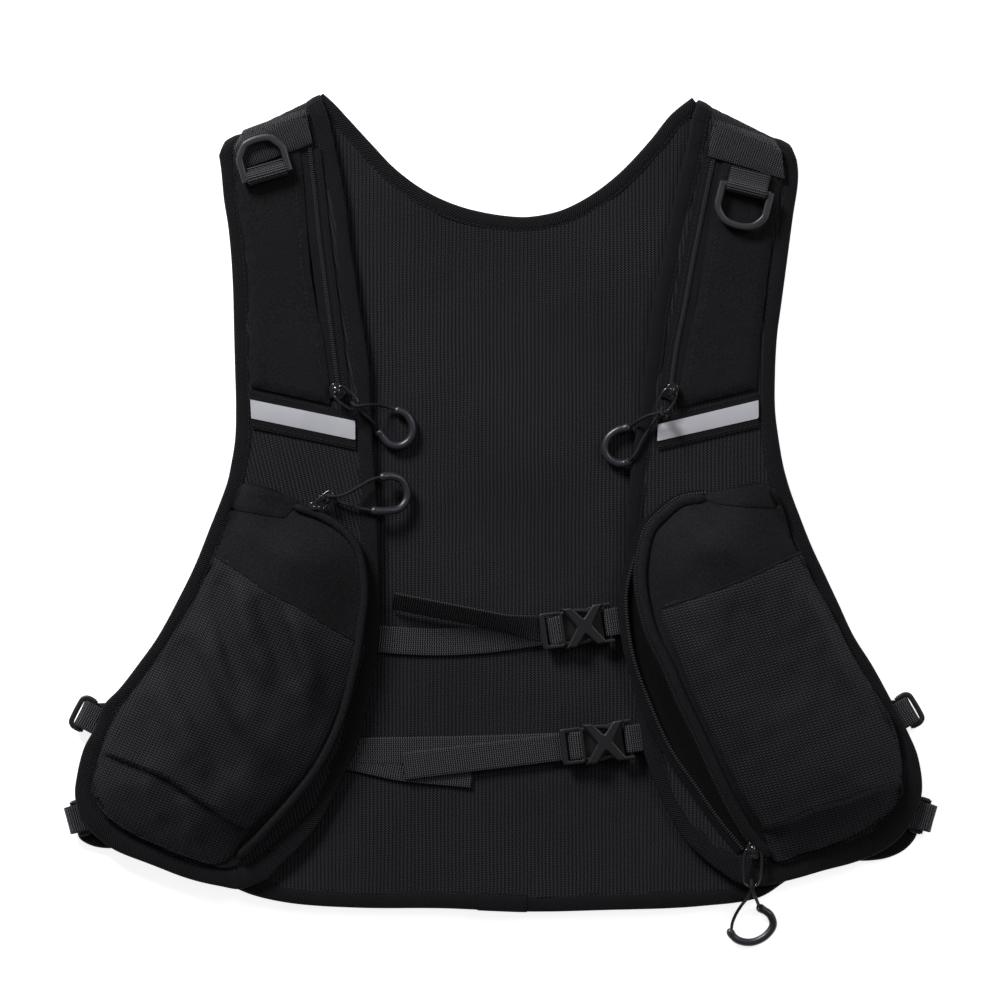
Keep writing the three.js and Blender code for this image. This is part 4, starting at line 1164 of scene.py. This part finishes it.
def ring_loop(name, ring):
    """Webbing that comes out from under the patch, goes round the ring's bar and back."""
    r, low = 2.8, RING_BAR - 2.8
    root = -ring["root"]
    arc = [(r * math.cos(a), RING_BAR + r * math.sin(a)) for a in np.radians(np.linspace(-90, 135, 12))]
    back = [(-3.4, low + 3.0), (root * 0.62, low + 1.5), (root, low + 1.2)]
    line = [(root, low), (root / 2, low), *arc, *back]
    path = smooth(in_plane(line, ring["bar"], ring["tilt"] - 90), 0.6)
    sweep(
        f"{name}_ring_webbing", path, flat_band(22.2, 1.15, 14), "webbing",
        side=cross_of(ring["tilt"] - 90), replaces=[f"{name}_d_ring_loop"],
    )


# ------------------------------------------------------------------ webbing and buckles


def half_turn(radius, height, start=-90, end=90):
    return [
        (radius * math.cos(a), height + radius * math.sin(a))
        for a in np.radians(np.linspace(start, end, 9))
    ]


def chest_path(strap):
    """A chest strap's middle line: its leg, its turn round the buckle's bar and its loose tail."""
    start, bar = np.array(strap["start"]), np.array(strap["bar"])
    length = np.linalg.norm(start - bar)
    leg_heading = math.degrees(math.atan2(*(bar - start)[::-1]))
    leg = [(-length, STRAP_Z - 0.3), (-length * 0.6, STRAP_Z - 0.1), (-length * 0.3, STRAP_Z),
           (-6, STRAP_Z), (0, STRAP_Z + 0.2)]
    turn_at = bar + heading_unit(strap["heading"]) * SLIDE_BAR
    first, last = STRAP_Z + 1.5, STRAP_Z + 1.5 + strap["tail_lift"]
    tail = [(-2.6, BUCKLE_BAR + 0.9), (0.4, STRAP_Z + 1.9), (3.4, first), (11, (first + last) / 2),
            (24, last + 0.3), (40, last), (strap["tail"] * 0.75, last + 0.4), (strap["tail"], last)]
    path = smooth(np.vstack([
        in_plane(leg, bar, leg_heading),
        in_plane(half_turn(1.9, BUCKLE_BAR), turn_at, strap["heading"]),
        in_plane(tail, bar, strap["tail_heading"]),
    ]), 1.2)
    along = np.clip((path[:, 0] - start[0]) / (bar[0] - start[0]), 0, 1)
    in_leg = np.arange(len(path)) < np.argmax(path[:, 0])
    path[:, 1] -= strap["sag"] * np.sin(math.pi * along) * in_leg
    return path


def chest_sides(strap, path):
    """Which way a chest strap's width lies: level, square to the bar at its turn, tilted in its tail."""
    bar_way = np.array(cross_of(strap["heading"]))
    flat = unit(directions(path) * [1, 1, 0])
    sides = np.column_stack([-flat[:, 1], flat[:, 0], np.zeros(len(flat))])
    sides[(sides * bar_way).sum(1) < 0] *= -1
    near_turn = bell(np.linalg.norm(path[:, :2] - strap["bar"], axis=1), 9)[:, None]
    sides = unit(sides * (1 - near_turn) + bar_way * near_turn)
    past_turn = lengths(path) - lengths(path)[np.argmax(path[:, 0])]
    tilt = np.radians(strap["tilt"]) * ease((past_turn - 4) / 34)
    tilt = np.where(past_turn > 0, tilt, 0)[:, None]
    return unit(sides * np.cos(tilt) + np.array([0, 0, 1.0]) * np.sin(tilt))


def chest_strap(level):
    strap = CHEST_STRAPS[level]
    path = chest_path(strap)
    obj = sweep(
        f"{level}_chest_webbing", path, flat_band(WEBBING, 1.15), "webbing",
        side=chest_sides(strap, path), replaces=[f"chest_strap_{level}"], body=None,
    )
    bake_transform(obj)


def spare_webbing():
    """The doubled start of the lower chest webbing, whose cut end shows under the leg."""
    path = [(-86, -139), (-70, -142.6), (-54.7, -145.8), (-33.3, -148), (-15.7, -149.6)]
    path = at_height(smooth(path, 1.5), STRAP_Z - 0.2)
    sweep("lower_spare_webbing", path, flat_band(WEBBING, 1.0), "webbing")


def chest_anchor(level):
    """The short webbing from the right front panel round the socket's bar."""
    strap = CHEST_STRAPS[level]
    end = np.array(strap["bar"]) + heading_unit(strap["heading"]) * SOCKET_BAR
    line = [(23, STRAP_Z), (8, STRAP_Z), (3, STRAP_Z + 1.2), *half_turn(1.9, BUCKLE_BAR, -90, -270),
            (4, BUCKLE_BAR + 0.6), (9, STRAP_Z + 2), (14, STRAP_Z + 1.5), (19, STRAP_Z + 1.3)]
    path = smooth(in_plane(line, end, strap["heading"]), 0.8)
    sweep(
        f"{level}_anchor_webbing", path, flat_band(WEBBING, 1.1), "webbing",
        side=cross_of(strap["heading"]), replaces=[f"chest_anchor_{level}"],
    )


def buckle_half(level, name, nets, body, replaces):
    strap = CHEST_STRAPS[level]
    hard_piece(
        f"{level}_buckle_{name}", nets, strap["bar"], strap["heading"], BUCKLE_BAR, "buckle", body,
        f"{replaces}_{level}",
    )


def chest_buckle(level):
    loops = [rounded(box_outline(-3.6, 9.4, -10, 10), 2.2), rounded(box_outline(-0.4, 7.6, -8, 8), 1.0)]
    male = [plate_net(loops, -1.1, 1.9, 0.6), rod_net((SLIDE_BAR, -8.6, 0), (SLIDE_BAR, 8.6, 0), 1.2)]
    for up in (-1, 1):
        arm = smooth([(8.6, up * 8.0), (13, up * 8.8), (18, up * 8.8), (23, up * 7.9), (27, up * 5.6)], 0.7)
        male.append(bar_net(at_height(arm, -0.5), oval(2.5, 2.4, 12, 0.6)))
    buckle_half(level, "prongs", male, f"{level}_buckle_male", "chest_buckle_male")

    half = [(9.2, 11), (12, 10.9), (16, 9.6), (21, 9), (26, 9.8), (29, 11), (31, 11)]
    base = [(x, -y) for x, y in half] + half[::-1]
    cross = [(9.0, 11), (15.0, 11), (20.8, 4.0), (26.6, 11), (32.6, 11), (25, 0),
             (32.6, -11), (26.6, -11), (20.8, -4.0), (15.0, -11), (9.0, -11), (16.6, 0)]
    female = [
        plate_net([rounded(base, 0.6)], -2.8, -1.9, 0.3),
        plate_net([rounded(cross, 1.1)], 1.2, 3.4, 0.9),
        rod_net((SOCKET_BAR, -9.6, 0), (SOCKET_BAR, 9.6, 0), 1.2),
    ]
    for post, lip in (((-11, -9.2), (-11.2, -10.4)), ((9.2, 11), (10.4, 11.2))):
        female.append(box_net((28, 36.4), post, 0.7, -2.7, 2.3, 0.5))
        female.append(box_net((9.2, 11), lip, 0.3, -2.7, 2.2, 0.2))
    buckle_half(level, "socket", female, "root", "chest_buckle_female")


SIDE_LOW, SIDE_BAR = 1.6, 5.0  # heights of the side webbing's lower layer and of its buckle's bar


def side_strap(name, level, strap):
    """Webbing from under the back's edge, round its buckle's bar and back over itself."""
    bar, root = np.array(strap["bar"]), np.array(strap["root"])
    ahead, inwards = heading_unit(strap["heading"]), unit(root - bar)
    length = np.linalg.norm(root - bar)
    lower = [[*(bar + inwards * d), SIDE_LOW] for d in (length, length * 0.6, length * 0.3, 7)]
    around = in_plane(half_turn(SIDE_BAR - SIDE_LOW, SIDE_BAR), bar + ahead * 1.2, strap["heading"])
    upper = [[*(bar - ahead * d), 2 * SIDE_BAR - SIDE_LOW] for d in (6, 16, 26)]
    path = smooth(np.vstack([lower, around, upper]), 1.0)
    cross = np.array(cross_of(strap["heading"]))
    own = np.array([-inwards[1], inwards[0], 0])
    own = own if own @ cross > 0 else -own
    share = ease(np.linalg.norm(path[:, :2] - bar, axis=1) / 20)[:, None]
    share = np.where(np.arange(len(path))[:, None] < np.argmax(path[:, 2] > SIDE_BAR), share, 0)
    sweep(
        f"{name}_{level}_side_webbing", path, flat_band(WEBBING, 1.1), "webbing",
        side=unit(own * share + cross * (1 - share)), replaces=[f"{name}_side_strap_{level}"],
    )


def side_buckle(name, level, strap):
    half = [(0, 8.7), (4.6, 8.7), (6.7, 7.2), (7.1, 5)]
    rail = smooth([(x, -y) for x, y in half] + half[::-1], 0.6)
    nets = [bar_net(rail, oval(3.0, 2.8, 16, 0.6)), rod_net((0, -9.6, 0), (0, 9.6, 0), 1.3)]
    heading = strap["heading"] if strap["outward"] else strap["heading"] + 180
    body = f"{name}_side_buckle" if level == "upper" else "root"
    hard_piece(
        f"{name}_{level}_slide", nets, strap["bar"], heading, SIDE_BAR, "buckle", body,
        f"{name}_side_buckle_{level}",
    )


# ------------------------------------------------------------------ back


class Fold:
    """The roll over one shoulder: what lies past the shoulder line in a flat layout is bent round it."""

    def __init__(self, side):
        self.start, end = (np.array(p, float) for p in side["shoulder"])
        self.width = np.linalg.norm(end - self.start)
        self.along = (end - self.start) / self.width
        self.inward = np.array([self.along[1], -self.along[0]]) * side["towards"]
        self.lean, self.under_lean = side["lean"], side["under_lean"]

    def local(self, points):
        off = points[:, :2] - self.start
        return off @ self.inward, off @ self.along

    def at(self, depth, along):
        return self.start + self.inward * depth + self.along * along

    def __call__(self, verts):
        depth, along = self.local(verts)
        past = FOLD_RADIUS - depth
        turned = past > 0
        radius = verts[:, 2] - FOLD_Z
        angle = np.clip(past / FOLD_RADIUS, 0, math.pi)
        foot = np.maximum(0, past - math.pi * FOLD_RADIUS)
        new_depth = np.where(turned, FOLD_RADIUS - radius * np.sin(angle) + foot, depth)
        share = np.clip(along / self.width, 0, 1)
        lean = self.lean[0] + (self.lean[1] - self.lean[0]) * share
        under_lean = self.under_lean[0] + (self.under_lean[1] - self.under_lean[0]) * share
        turn = FOLD_RADIUS - radius
        above = np.where(angle < math.pi / 2, new_depth, turn) - FOLD_RADIUS
        below = np.where(angle < math.pi / 2, 0, new_depth - turn)
        new_along = np.where(turned, along + lean * above + under_lean * below, along)
        out = verts.copy()
        out[:, :2] = self.start + new_depth[:, None] * self.inward + new_along[:, None] * self.along
        out[:, 2] = np.where(turned, np.maximum(FOLD_Z + radius * np.cos(angle), 0.05), verts[:, 2])
        return out

    def beyond(self, line, depth):
        """The part of a line that lies further in than a depth, cut off cleanly at both ends."""
        d, _ = self.local(line)
        keep = np.nonzero(d > depth)[0]
        first, last = keep[0], keep[-1]
        part = [line[first : last + 1]]
        if first > 0:
            t = (depth - d[first - 1]) / (d[first] - d[first - 1])
            part.insert(0, (line[first - 1] * (1 - t) + line[first] * t)[None])
        if last < len(line) - 1:
            t = (d[last] - depth) / (d[last] - d[last + 1])
            part.append((line[last] * (1 - t) + line[last + 1] * t)[None])
        return np.vstack(part)

    def extended(self, line):
        """An edge from the arm end to the neck end, in the flat layout, with both ends past the fold."""
        inner = self.beyond(line, FOLD_RADIUS)
        ends = []
        reach = FOLD_RADIUS - math.pi * FOLD_RADIUS - (FOLD_DEPTH - FOLD_RADIUS)
        for point in (inner[0], inner[-1]):
            _, along = self.local(point[None])
            ends.append([[*self.at(d, along[0]), 0] for d in np.arange(reach, FOLD_RADIUS - 1, 1.5)])
        return np.vstack([ends[0], inner, ends[1][::-1]])


FOLDS = {name: Fold(side) for name, side in SIDES.items()}


def edge_profile(width, low, high, sign):
    """The section of an edge tape folded over an edge, from the edge inwards, about its middle height."""
    h = (high - low) / 2
    r = min(h, 1.9)

    def corner(middle, turn, degrees):
        return [(r * (1 - math.cos(a)), middle + turn * r * math.sin(a)) for a in np.radians(degrees)]

    points = [(0, 0), *corner(r - h, -1, [12, 35, 60, 85])]
    points += [(width * 0.55, -h), (width - 0.7, -h), (width, -h + 0.5)]
    points += [(width + 0.05, h - 1.0), (width - 0.25, h - 0.62), (width - 0.8, h - 0.5),
               (width - 1.5, h - 0.62), (width - 2.2, h - 0.28), (width * 0.6, h - 0.02),
               (width * 0.4, h), (r, h - 0.12)]
    points += corner(h - 0.12 - r, 1, [62, 38, 14])
    return np.array([(p[0] * sign, p[1]) for p in points])


def puckers(line):
    """Slight unevenness of an edge tape's height along its length."""
    s = lengths(line)
    return 0.22 * (np.sin(s / 2.9) * 0.5 + np.sin(s / 7.3 + 1) * 0.6 + np.sin(s / 17.0 + 2))


def edge_tape(name, line, low, high, sign, replaces=(), width=BINDING, bend=None):
    """An edge tape along a line, with its line of stitches near the inner edge."""
    line = at_height(line, (low + high) / 2 + puckers(line))
    width = np.broadcast_to(width, len(line))
    profile = np.stack([edge_profile(w, low, high, sign) for w in width])
    sweep(name, line, profile, "binding", bend=bend, replaces=replaces)
    seam = sideways(line, sign * (width - 1.5))
    sew(name, [seam + [0, 0, (high - low) / 2 - 0.5]], bend)


def rim_line():
    left = smooth(SIDES["l"]["armhole"], 3)
    right = smooth(SIDES["r"]["armhole"], 3)[::-1]
    hem = smooth(HEM, 3)
    return np.vstack([left[:-1], hem[:-1], right])


def clipped(line, depth=BACK_START):
    """The part of one of the back's edges that lies clear of both shoulder rolls."""
    for fold in FOLDS.values():
        line = fold.beyond(line, depth)
    return line


def back_outline(depth=BACK_START):
    """The back inside its edge tapes, up to a depth from the shoulder lines."""
    rim, neck = clipped(rim_line(), depth), clipped(smooth(NECKLINE), depth)
    return np.vstack([sideways(rim, BINDING - 0.8), sideways(neck, 0.8 - BINDING)[::-1]])


def back():
    rim, neck = clipped(rim_line()), clipped(smooth(NECKLINE))

    def lining(p):
        deep = ease(distance_to(p, rim) / 40) * ease(distance_to(p, neck) / 30)
        return LINING_TOP - 0.55 * deep * (1 + waves(p, 85, 3)) - 0.15 * (1 + waves(p, 22, 5))

    def padding(p):
        return 5.5 - 0.3 * (1 + waves(p, 60, 8))

    def outside(p):
        return SHELL_TOP - 0.1 * (1 + waves(p, 40, 4))

    slab(
        "back_mesh", back_outline(8), 4.5, lining, 1.3, "lining_mesh",
        replaces=["back_lining"],
    )
    # The padding is in the darker copy of the softshell, whose extra darkness is painted shade.
    pad = slab("back_padding", back_outline(), 9, padding, 3.7, "painted_shade_cloth", replaces=["back_foam"])
    slab("back_outside", back_outline(), 9, outside, 1.2, "softshell", replaces=["back_shell"])
    high = LINING_TOP + 0.3
    edge_tape("neck_edge_tape", clipped(smooth(NECKLINE), 0.6), 0.5, high, -1, ["neck_binding"])
    edge_tape("back_edge_tape", clipped(rim_line(), 9), 0.5, high, 1, ["back_binding"], width=10)


def wing(name, points):
    """The corner of the back that shows below a front panel, with its own edge tape."""
    edge = smooth(points, 1.5)
    outline = np.vstack([sideways(edge, 2), sideways(edge, 16)[::-1]])
    # This corner is in the darker copy of the softshell, whose extra darkness is painted shade under the
    # front panel's edge.
    slab(f"{name}_back_wing", outline, 3, lambda p: np.full(len(p), 3.9), 2.2, "painted_shade_cloth")
    edge_tape(f"{name}_back_wing_tape", edge, 0.8, 4.6, 1)


def hem_join():
    """Where the two ends of the edge tape meet at the hem, one over the other."""
    hem = smooth(HEM, 3)
    part = by_length(hem[(hem[:, 0] > -14) & (hem[:, 0] < 17)], 1.5)
    edge_tape("hem_join_tape", sideways(part, -0.3), 0.6, LINING_TOP + 0.9, 1, width=10.3)


# ------------------------------------------------------------------ front panels


def front(name, side):
    sign = -side["towards"]
    fold = FOLDS[name]
    edge = fold.extended(smooth(side["edge"]))

    def uneven(p):
        return PANEL_TOP - 0.25 * (1 + waves(p, 55, 11 + sign))

    gap = distance_to(edge, smooth(side["seam"]))
    width = np.where(gap < 17, gap, INNER_BINDING)
    width = np.clip(np.convolve(np.pad(width, 12, mode="edge"), np.ones(25) / 25, "valid"), 7.5, 14)
    inner = sideways(edge, sign * (BINDING - 1.9))
    slab(
        f"{name}_front_mesh", inner, 4, uneven, 2.6, f"{name}_panel_mesh",
        bend=fold, replaces=[f"{name}_front_panel"],
    )
    edge_tape(
        f"{name}_front_edge_tape", edge, 9.4, BINDING_TOP, sign, [f"{name}_front_binding"],
        width=width, bend=fold,
    )


def cloth_patch(name, corners, low, thick, look, spacing, radius, replaces=(), extra=None):
    """A flat piece of cloth sewn on a front panel, with a soft edge."""
    outline = outlined(corners)

    def top(p):
        edge = rise(distance_to(p, outline, closed=True), radius)
        return low + thick * (1 - (1 - edge) * 0.7) + (extra(p) if extra else 0)

    slab(name, outline, spacing, top, lambda p: top(p) - low, look, replaces=replaces)


def shoulder_pocket(name, side):
    flap_edge = smooth(side["flap_edge"])

    def raised(p):
        d = distance_to(p, flap_edge)
        return 0.5 * bell(d, 1.6) - 0.45 * bell(d - 4.2, 1.1) + 0.22 * waves(p, 30, 21)

    cloth_patch(
        f"{name}_shoulder_softshell", side["flap"], APPLIQUE, 1.9, "softshell", 3.2, 1.5,
        [f"{name}_shoulder_pocket"], raised,
    )
    seam = at_height(sideways(flap_edge, side["towards"] * 4.2), APPLIQUE + 1.75)
    sew(f"{name}_shoulder", [seam[3:-3]])


def over_shoulder(name, points):
    """Webbing on the shoulder pocket, laid down past the pocket's end and over the roll."""
    depth, _ = FOLDS[name].local(points)
    return FOLDS[name](points - np.outer(2.0 * ease((7.5 - depth) / 4), [0, 0, 1]))


def patch(name, side):
    corners = xyz(side["patch"])
    outline = outlined(corners)
    low = SHOULDER_TOP + 0.3
    seam = by_length(corners[:2], 2) + unit(corners[3] - corners[0]) * 3.3

    def top(p):
        edge = rise(distance_to(p, outline, closed=True), 1.0)
        return low + 1.3 - 0.9 * (1 - edge) - 0.35 * bell(distance_to(p, seam), 0.7)

    verts, faces = slab_net(outline, 2.6, top, lambda p: top(p) - low)
    heading = math.atan2(*(corners[1] - corners[0])[:2][::-1])
    c, s = math.cos(heading), math.sin(heading)
    x, y, z = verts.T
    piece(
        f"{name}_shoulder_webbing", over_shoulder(name, verts), faces, "patch_webbing",
        replaces=[f"{name}_shoulder_patch"], weave=np.column_stack([-x * s + y * c, x * c + y * s, z]),
    )
    sew(f"{name}_patch", [over_shoulder(name, at_height(seam, low + 1.05))])


def chest_zip(name, side):
    coil = smooth(side["coil"], 1.25)
    profile = np.array([(-5.8, -0.4), (5.8, -0.4), (5.8, 0.1), (0.5, 0.35), (-0.5, 0.35), (-5.8, 0.1)])
    sweep(
        f"{name}_chest_zip_tape", at_height(coil, APPLIQUE + 0.35), profile, "band_cloth",
        replaces=[f"{name}_chest_zip"],
    )
    zip_teeth(f"{name}_chest_zip_coil", at_height(coil, APPLIQUE + 1.0), 2.9, 0.56)
    sew(f"{name}_chest_zip", [at_height(sideways(coil, side["towards"] * -3.4), APPLIQUE + 0.6)])


def reflective_band(name, side):
    cloth_patch(f"{name}_band_backing", side["backing"], APPLIQUE, 0.55, "band_cloth", 5, 1.5)
    cloth_patch(
        f"{name}_silver_tape", side["silver"], APPLIQUE + 0.6, 0.6, "silver", 5, 0.6,
        [f"{name}_reflective_band"],
    )
    corners = xyz(side["backing"])
    seams = []
    for start, end, other in ((0, 1, 3), (3, 2, 0)):
        inward = unit(corners[other] - corners[start])
        seams.append(at_height(by_length(corners[[start, end]], 2) + inward * 1.6, APPLIQUE + 0.55))
    sew(f"{name}_band", seams)


# ------------------------------------------------------------------ lower pockets


OPEN_POCKET, CLOSED_POCKET = "r", "l"

# lip is the height of the cloth at the zip: its lowest, its rise and the power of its curve. full is
# how far the face stands out from the panel. uneven is the size and seed of its waves. A fold is a line,
# its width and its height. welt is the section of the roll along the zip. teeth is how far the teeth lie
# inside the zip's line, and below the lip.
POCKETS = {
    "l": {
        "lip": (14.8, 5.4, 0.6), "full": 15.0, "uneven": (55, 32), "welt": (4.8, 3.9, 20, 0.85),
        "teeth": (0.7, 1.2),
        "face_folds": [([(-150, -14), (-122, -22), (-96, -40)], 9, 1.0)],
        "mesh_folds": [
            ([(-182, -70), (-162, -110), (-140, -158)], 8, -3.4),
            ([(-166, -60), (-144, -106), (-122, -152)], 8, 2.6),
            ([(-192, -90), (-174, -124), (-156, -156)], 7, 2.5),
            ([(-153, -36), (-149, -70), (-139, -118)], 5.5, -2.6),
            ([(-143, -36), (-138, -66), (-122, -112)], 6, 2.4),
            ([(-130, -42), (-122, -70), (-108, -108)], 6, -2.6),
            ([(-117, -50), (-108, -80), (-100, -116)], 7, 2.4),
            ([(-196, -150), (-188, -168), (-184, -178)], 4, 1.2),
            ([(-176, -158), (-168, -176), (-163, -186)], 4, 1.0),
        ],
    },
    "r": {
        "lip": (15.2, 8.5, 0.7), "full": 19.5, "uneven": (60, 31), "welt": (5.8, 3.4, 20, 0.8),
        "teeth": (-1.6, 0.2),
        "face_folds": [
            ([(96, -12), (104, -34), (106, -60)], 7, -2.2),
            ([(112, -10), (128, -28), (146, -40)], 9, 1.3),
        ],
        "mesh_folds": [
            ([(160, -34), (176, -70), (196, -112)], 7, 1.8),
            ([(126, -48), (140, -80), (160, -120)], 11, -1.6),
            ([(100, -66), (118, -100), (136, -140)], 9, 1.3),
        ],
    },
}
MESH_FOLD_GAIN = 1.75  # the mesh folds' heights above are multiplied by this


def ridge(p, points, width, height):
    """A soft fold along a line of cloth that fades out past the line's ends."""
    line = smooth(points)
    apart = np.linalg.norm(p[:, None, :2] - line[None, :, :2], axis=2)
    along = apart.argmin(1) / (len(line) - 1)
    fade = ease(4 * along) * ease(3 * (1 - along))
    return height * fade * bell(apart.min(1), width)


def down_the_zip(line):
    """0 at the top end of a pocket's zip, 1 at its bottom end."""
    return np.clip((6 - line[:, 1]) / 200, 0, 1)


class Pocket:
    """One lower pocket: its face, the mesh pocket on it, its zip and its edges."""

    def __init__(self, name, side):
        self.name, self.side, self.shape = name, side, POCKETS[name]
        self.outline = smooth(side["pocket"], 2.2, closed=True)
        self.overlay = smooth(side["overlay"], closed=True)
        self.zip = smooth(side["zip"], 1.25)
        self.rim = smooth(side["rim"], 2.2)
        self.inward = self.zip_to_middle()

    def zip_to_middle(self):
        """+1 where the pocket is on the left of the zip's line, or else -1."""
        a, b = self.zip[10], self.zip[12]
        middle = self.outline.mean(0)
        cross = (b - a)[0] * (middle - a)[1] - (b - a)[1] * (middle - a)[0]
        return 1 if cross > 0 else -1

    def lip(self, p):
        """How high the cloth stands at the zip, next to each point."""
        low, high, power = self.shape["lip"]
        return low + high * np.sin(math.pi * down_the_zip(p)) ** power

    def face(self, p):
        to_zip, to_rim = distance_to(p, self.zip), distance_to(p, self.rim)
        lip = self.lip(p) - APPLIQUE
        body = lip + (self.shape["full"] - lip) * ease(to_zip / 34)
        high = APPLIQUE + 0.4 + body * (0.55 * rise(to_rim, 44) + 0.45 * ease(to_rim / 44))
        high += 0.9 * waves(p, *self.shape["uneven"]) * ease(to_rim / 20)
        for fold in self.shape["face_folds"]:
            high += ridge(p, *fold)
        return high

    def over(self, p):
        """The mesh overlay's outer surface, with its slack folds and the pleat across its foot."""
        edge = distance_to(p, self.overlay, closed=True)
        high = self.face(p) + 0.9 + 1.6 * rise(edge, 14)
        loose = ease(edge / 9)
        for fold in self.shape["mesh_folds"]:
            high = high + MESH_FOLD_GAIN * ridge(p, *fold) * loose
        high = high + 0.35 * waves(p, 16, 41) * loose + self.pleat(p) * ease(edge / 4)
        return np.maximum(high, self.face(p) + 0.75)

    def pleat(self, p):
        """The overlay's pleat: the cloth above its line hangs over the cloth below."""
        line = xyz(self.side["pleat"])
        line = line[np.argsort(line[:, 0])]
        above = p[:, 1] - np.interp(p[:, 0], line[:, 0], line[:, 1])
        upper = 3.2 * np.exp(-np.maximum(above, 0) / 13)
        lower = -1.6 * np.exp(np.minimum(above, 0) / 7)
        share = ease(above / 2.6 + 0.5)
        return upper * share + lower * (1 - share)

    def build(self):
        self.cloth()
        if self.name == CLOSED_POCKET:
            self.gusset()
        self.welt()
        self.zip_half()
        self.tab()
        self.overlay_hem()
        if self.name == OPEN_POCKET:
            self.inside()

    def cloth(self):
        name = self.name
        outward = np.sign(area_of(self.outline))
        face_outline = sideways(self.outline, outward * 0.6, closed=True)
        body = slab(
            f"{name}_pocket_face", face_outline, 2.8, self.face, 1.2, "softshell",
            replaces=[f"{name}_pocket_body"],
        )
        mesh = slab(
            f"{name}_pocket_overlay", self.overlay, 1.8, self.over, 0.6,
            f"{name}_pocket_mesh", replaces=[f"{name}_mesh_pocket"],
        )

    def gusset(self):
        """The wall behind the closed zip, down to the front panel."""
        line = sideways(self.zip, self.inward * 1.0)
        low, high = APPLIQUE + 0.1, self.lip(line) - 0.8
        rows = [at_height(line, low + (high - low) * share) for share in (1, 0.66, 0.33, 0)]
        rows += [sideways(row, self.inward * 0.8) for row in rows[::-1]]
        m, n = len(rows), len(line)
        faces = []
        for i in range(n - 1):
            for k in range(m):
                q = (k + 1) % m
                faces.append((k * n + i, k * n + i + 1, q * n + i + 1, q * n + i))
        faces.append(tuple(k * n for k in range(m)))
        faces.append(tuple(k * n + n - 1 for k in reversed(range(m))))
        piece(f"{self.name}_pocket_gusset", np.vstack(rows), faces, "softshell")

    def welt(self):
        """The soft roll of cloth along the zip, thinner at its ends."""
        welt = sideways(self.zip, self.inward * 1.4)
        welt = at_height(welt, self.lip(welt) + 1.3)
        s = lengths(welt)
        near_end = np.minimum(s, s[-1] - s)
        size = 0.35 + 0.65 * np.sqrt(np.clip(near_end / 4, 0, 1))
        sweep(f"{self.name}_pocket_welt", welt, oval(*self.shape["welt"]), "softshell", scale=size)
        seam = sideways(welt, self.inward * 2.6)
        sew(f"{self.name}_welt", [at_height(seam, self.face(seam) + 0.05)[4:-4]])

    def zip_half(self):
        inside, below = self.shape["teeth"]
        teeth = sideways(self.zip, self.inward * inside)
        teeth = by_length(at_height(teeth, self.lip(teeth) - below), 1.5)
        tape = np.array([(-1.8, -0.25), (1.8, -0.25), (1.8, 0.25), (-1.8, 0.25)])
        sweep(
            f"{self.name}_pocket_zip_tape", teeth - [0, 0, 0.55], tape, "zip_tape",
            replaces=[f"{self.name}_pocket_zip"],
        )
        zip_teeth(f"{self.name}_pocket_zip_teeth", teeth, 2.4, 0.6)

    def tab(self):
        outline = outlined(rounded(self.side["tab"], 2.5))

        def top(p):
            d = distance_to(p, outline, closed=True)
            return np.maximum(self.face(p) + 0.5, APPLIQUE + 1.2) + 0.6 * rise(d, 2.0)

        slab(f"{self.name}_pocket_tab", outline, 2.4, top, 1.2, "softshell")

    def overlay_hem(self):
        line = smooth(self.side["overlay_top"], 1.5)
        line = at_height(line, self.over(line) + 0.1)
        sweep(f"{self.name}_overlay_hem", line, oval(1.7, 1.0, 12), "band_cloth")

    def inside(self):
        """The open pocket's lining, and the half of the zip that stays on the front panel."""
        teeth = smooth(BACK_TEETH, 1.5)
        teeth = at_height(teeth, 14.6 + 2.2 * np.sin(math.pi * down_the_zip(teeth)))
        # The pocket's inside is in the darker copy of the softshell, whose extra darkness is painted shade.
        slab(
            f"{self.name}_pocket_lining", self.floor_outline(teeth), 5,
            lambda p: np.full(len(p), APPLIQUE + 0.55), 0.5, "painted_shade_cloth",
        )
        profile = np.array([(-0.6, -0.3), (4.6, -1.8), (4.6, -1.3), (-0.6, 0.25)]) * [-self.inward, 1]
        sweep(f"{self.name}_pocket_back_tape", teeth - [0, 0, 0.5], profile, "zip_tape")
        zip_teeth(f"{self.name}_pocket_back_teeth", teeth, 2.4, 0.6)

    def floor_outline(self, teeth):
        """Down the back teeth and back up the rim, which is turned round where it has to be."""
        to_start, to_end = (np.linalg.norm(teeth[-1, :2] - self.rim[i, :2]) for i in (0, -1))
        rim = self.rim[::-1] if to_start > to_end else self.rim
        return at_height(np.vstack([teeth, rim]), 0)


# ------------------------------------------------------------------ everything, in order

set_camera()
set_stage()
all_cords()
back()
hem_join()
for wing_name, wing_points in WINGS.items():
    wing(wing_name, wing_points)
for side_name, side_data in SIDES.items():
    front(side_name, side_data)
    shoulder_pocket(side_name, side_data)
    patch(side_name, side_data)
    chest_zip(side_name, side_data)
    reflective_band(side_name, side_data)
    ring_loop(side_name, side_data["ring"])
    d_ring(side_name, side_data["ring"])
    Pocket(side_name, side_data).build()
    for strap_level, strap_data in side_data["straps"].items():
        side_strap(side_name, strap_level, strap_data)
        side_buckle(side_name, strap_level, strap_data)
spare_webbing()
for chest_level in CHEST_STRAPS:
    chest_strap(chest_level)
    chest_anchor(chest_level)
    chest_buckle(chest_level)
for pull_name, pull_data in PULLS.items():
    runner(pull_name, pull_data)
    wire_puller(pull_name, pull_data)
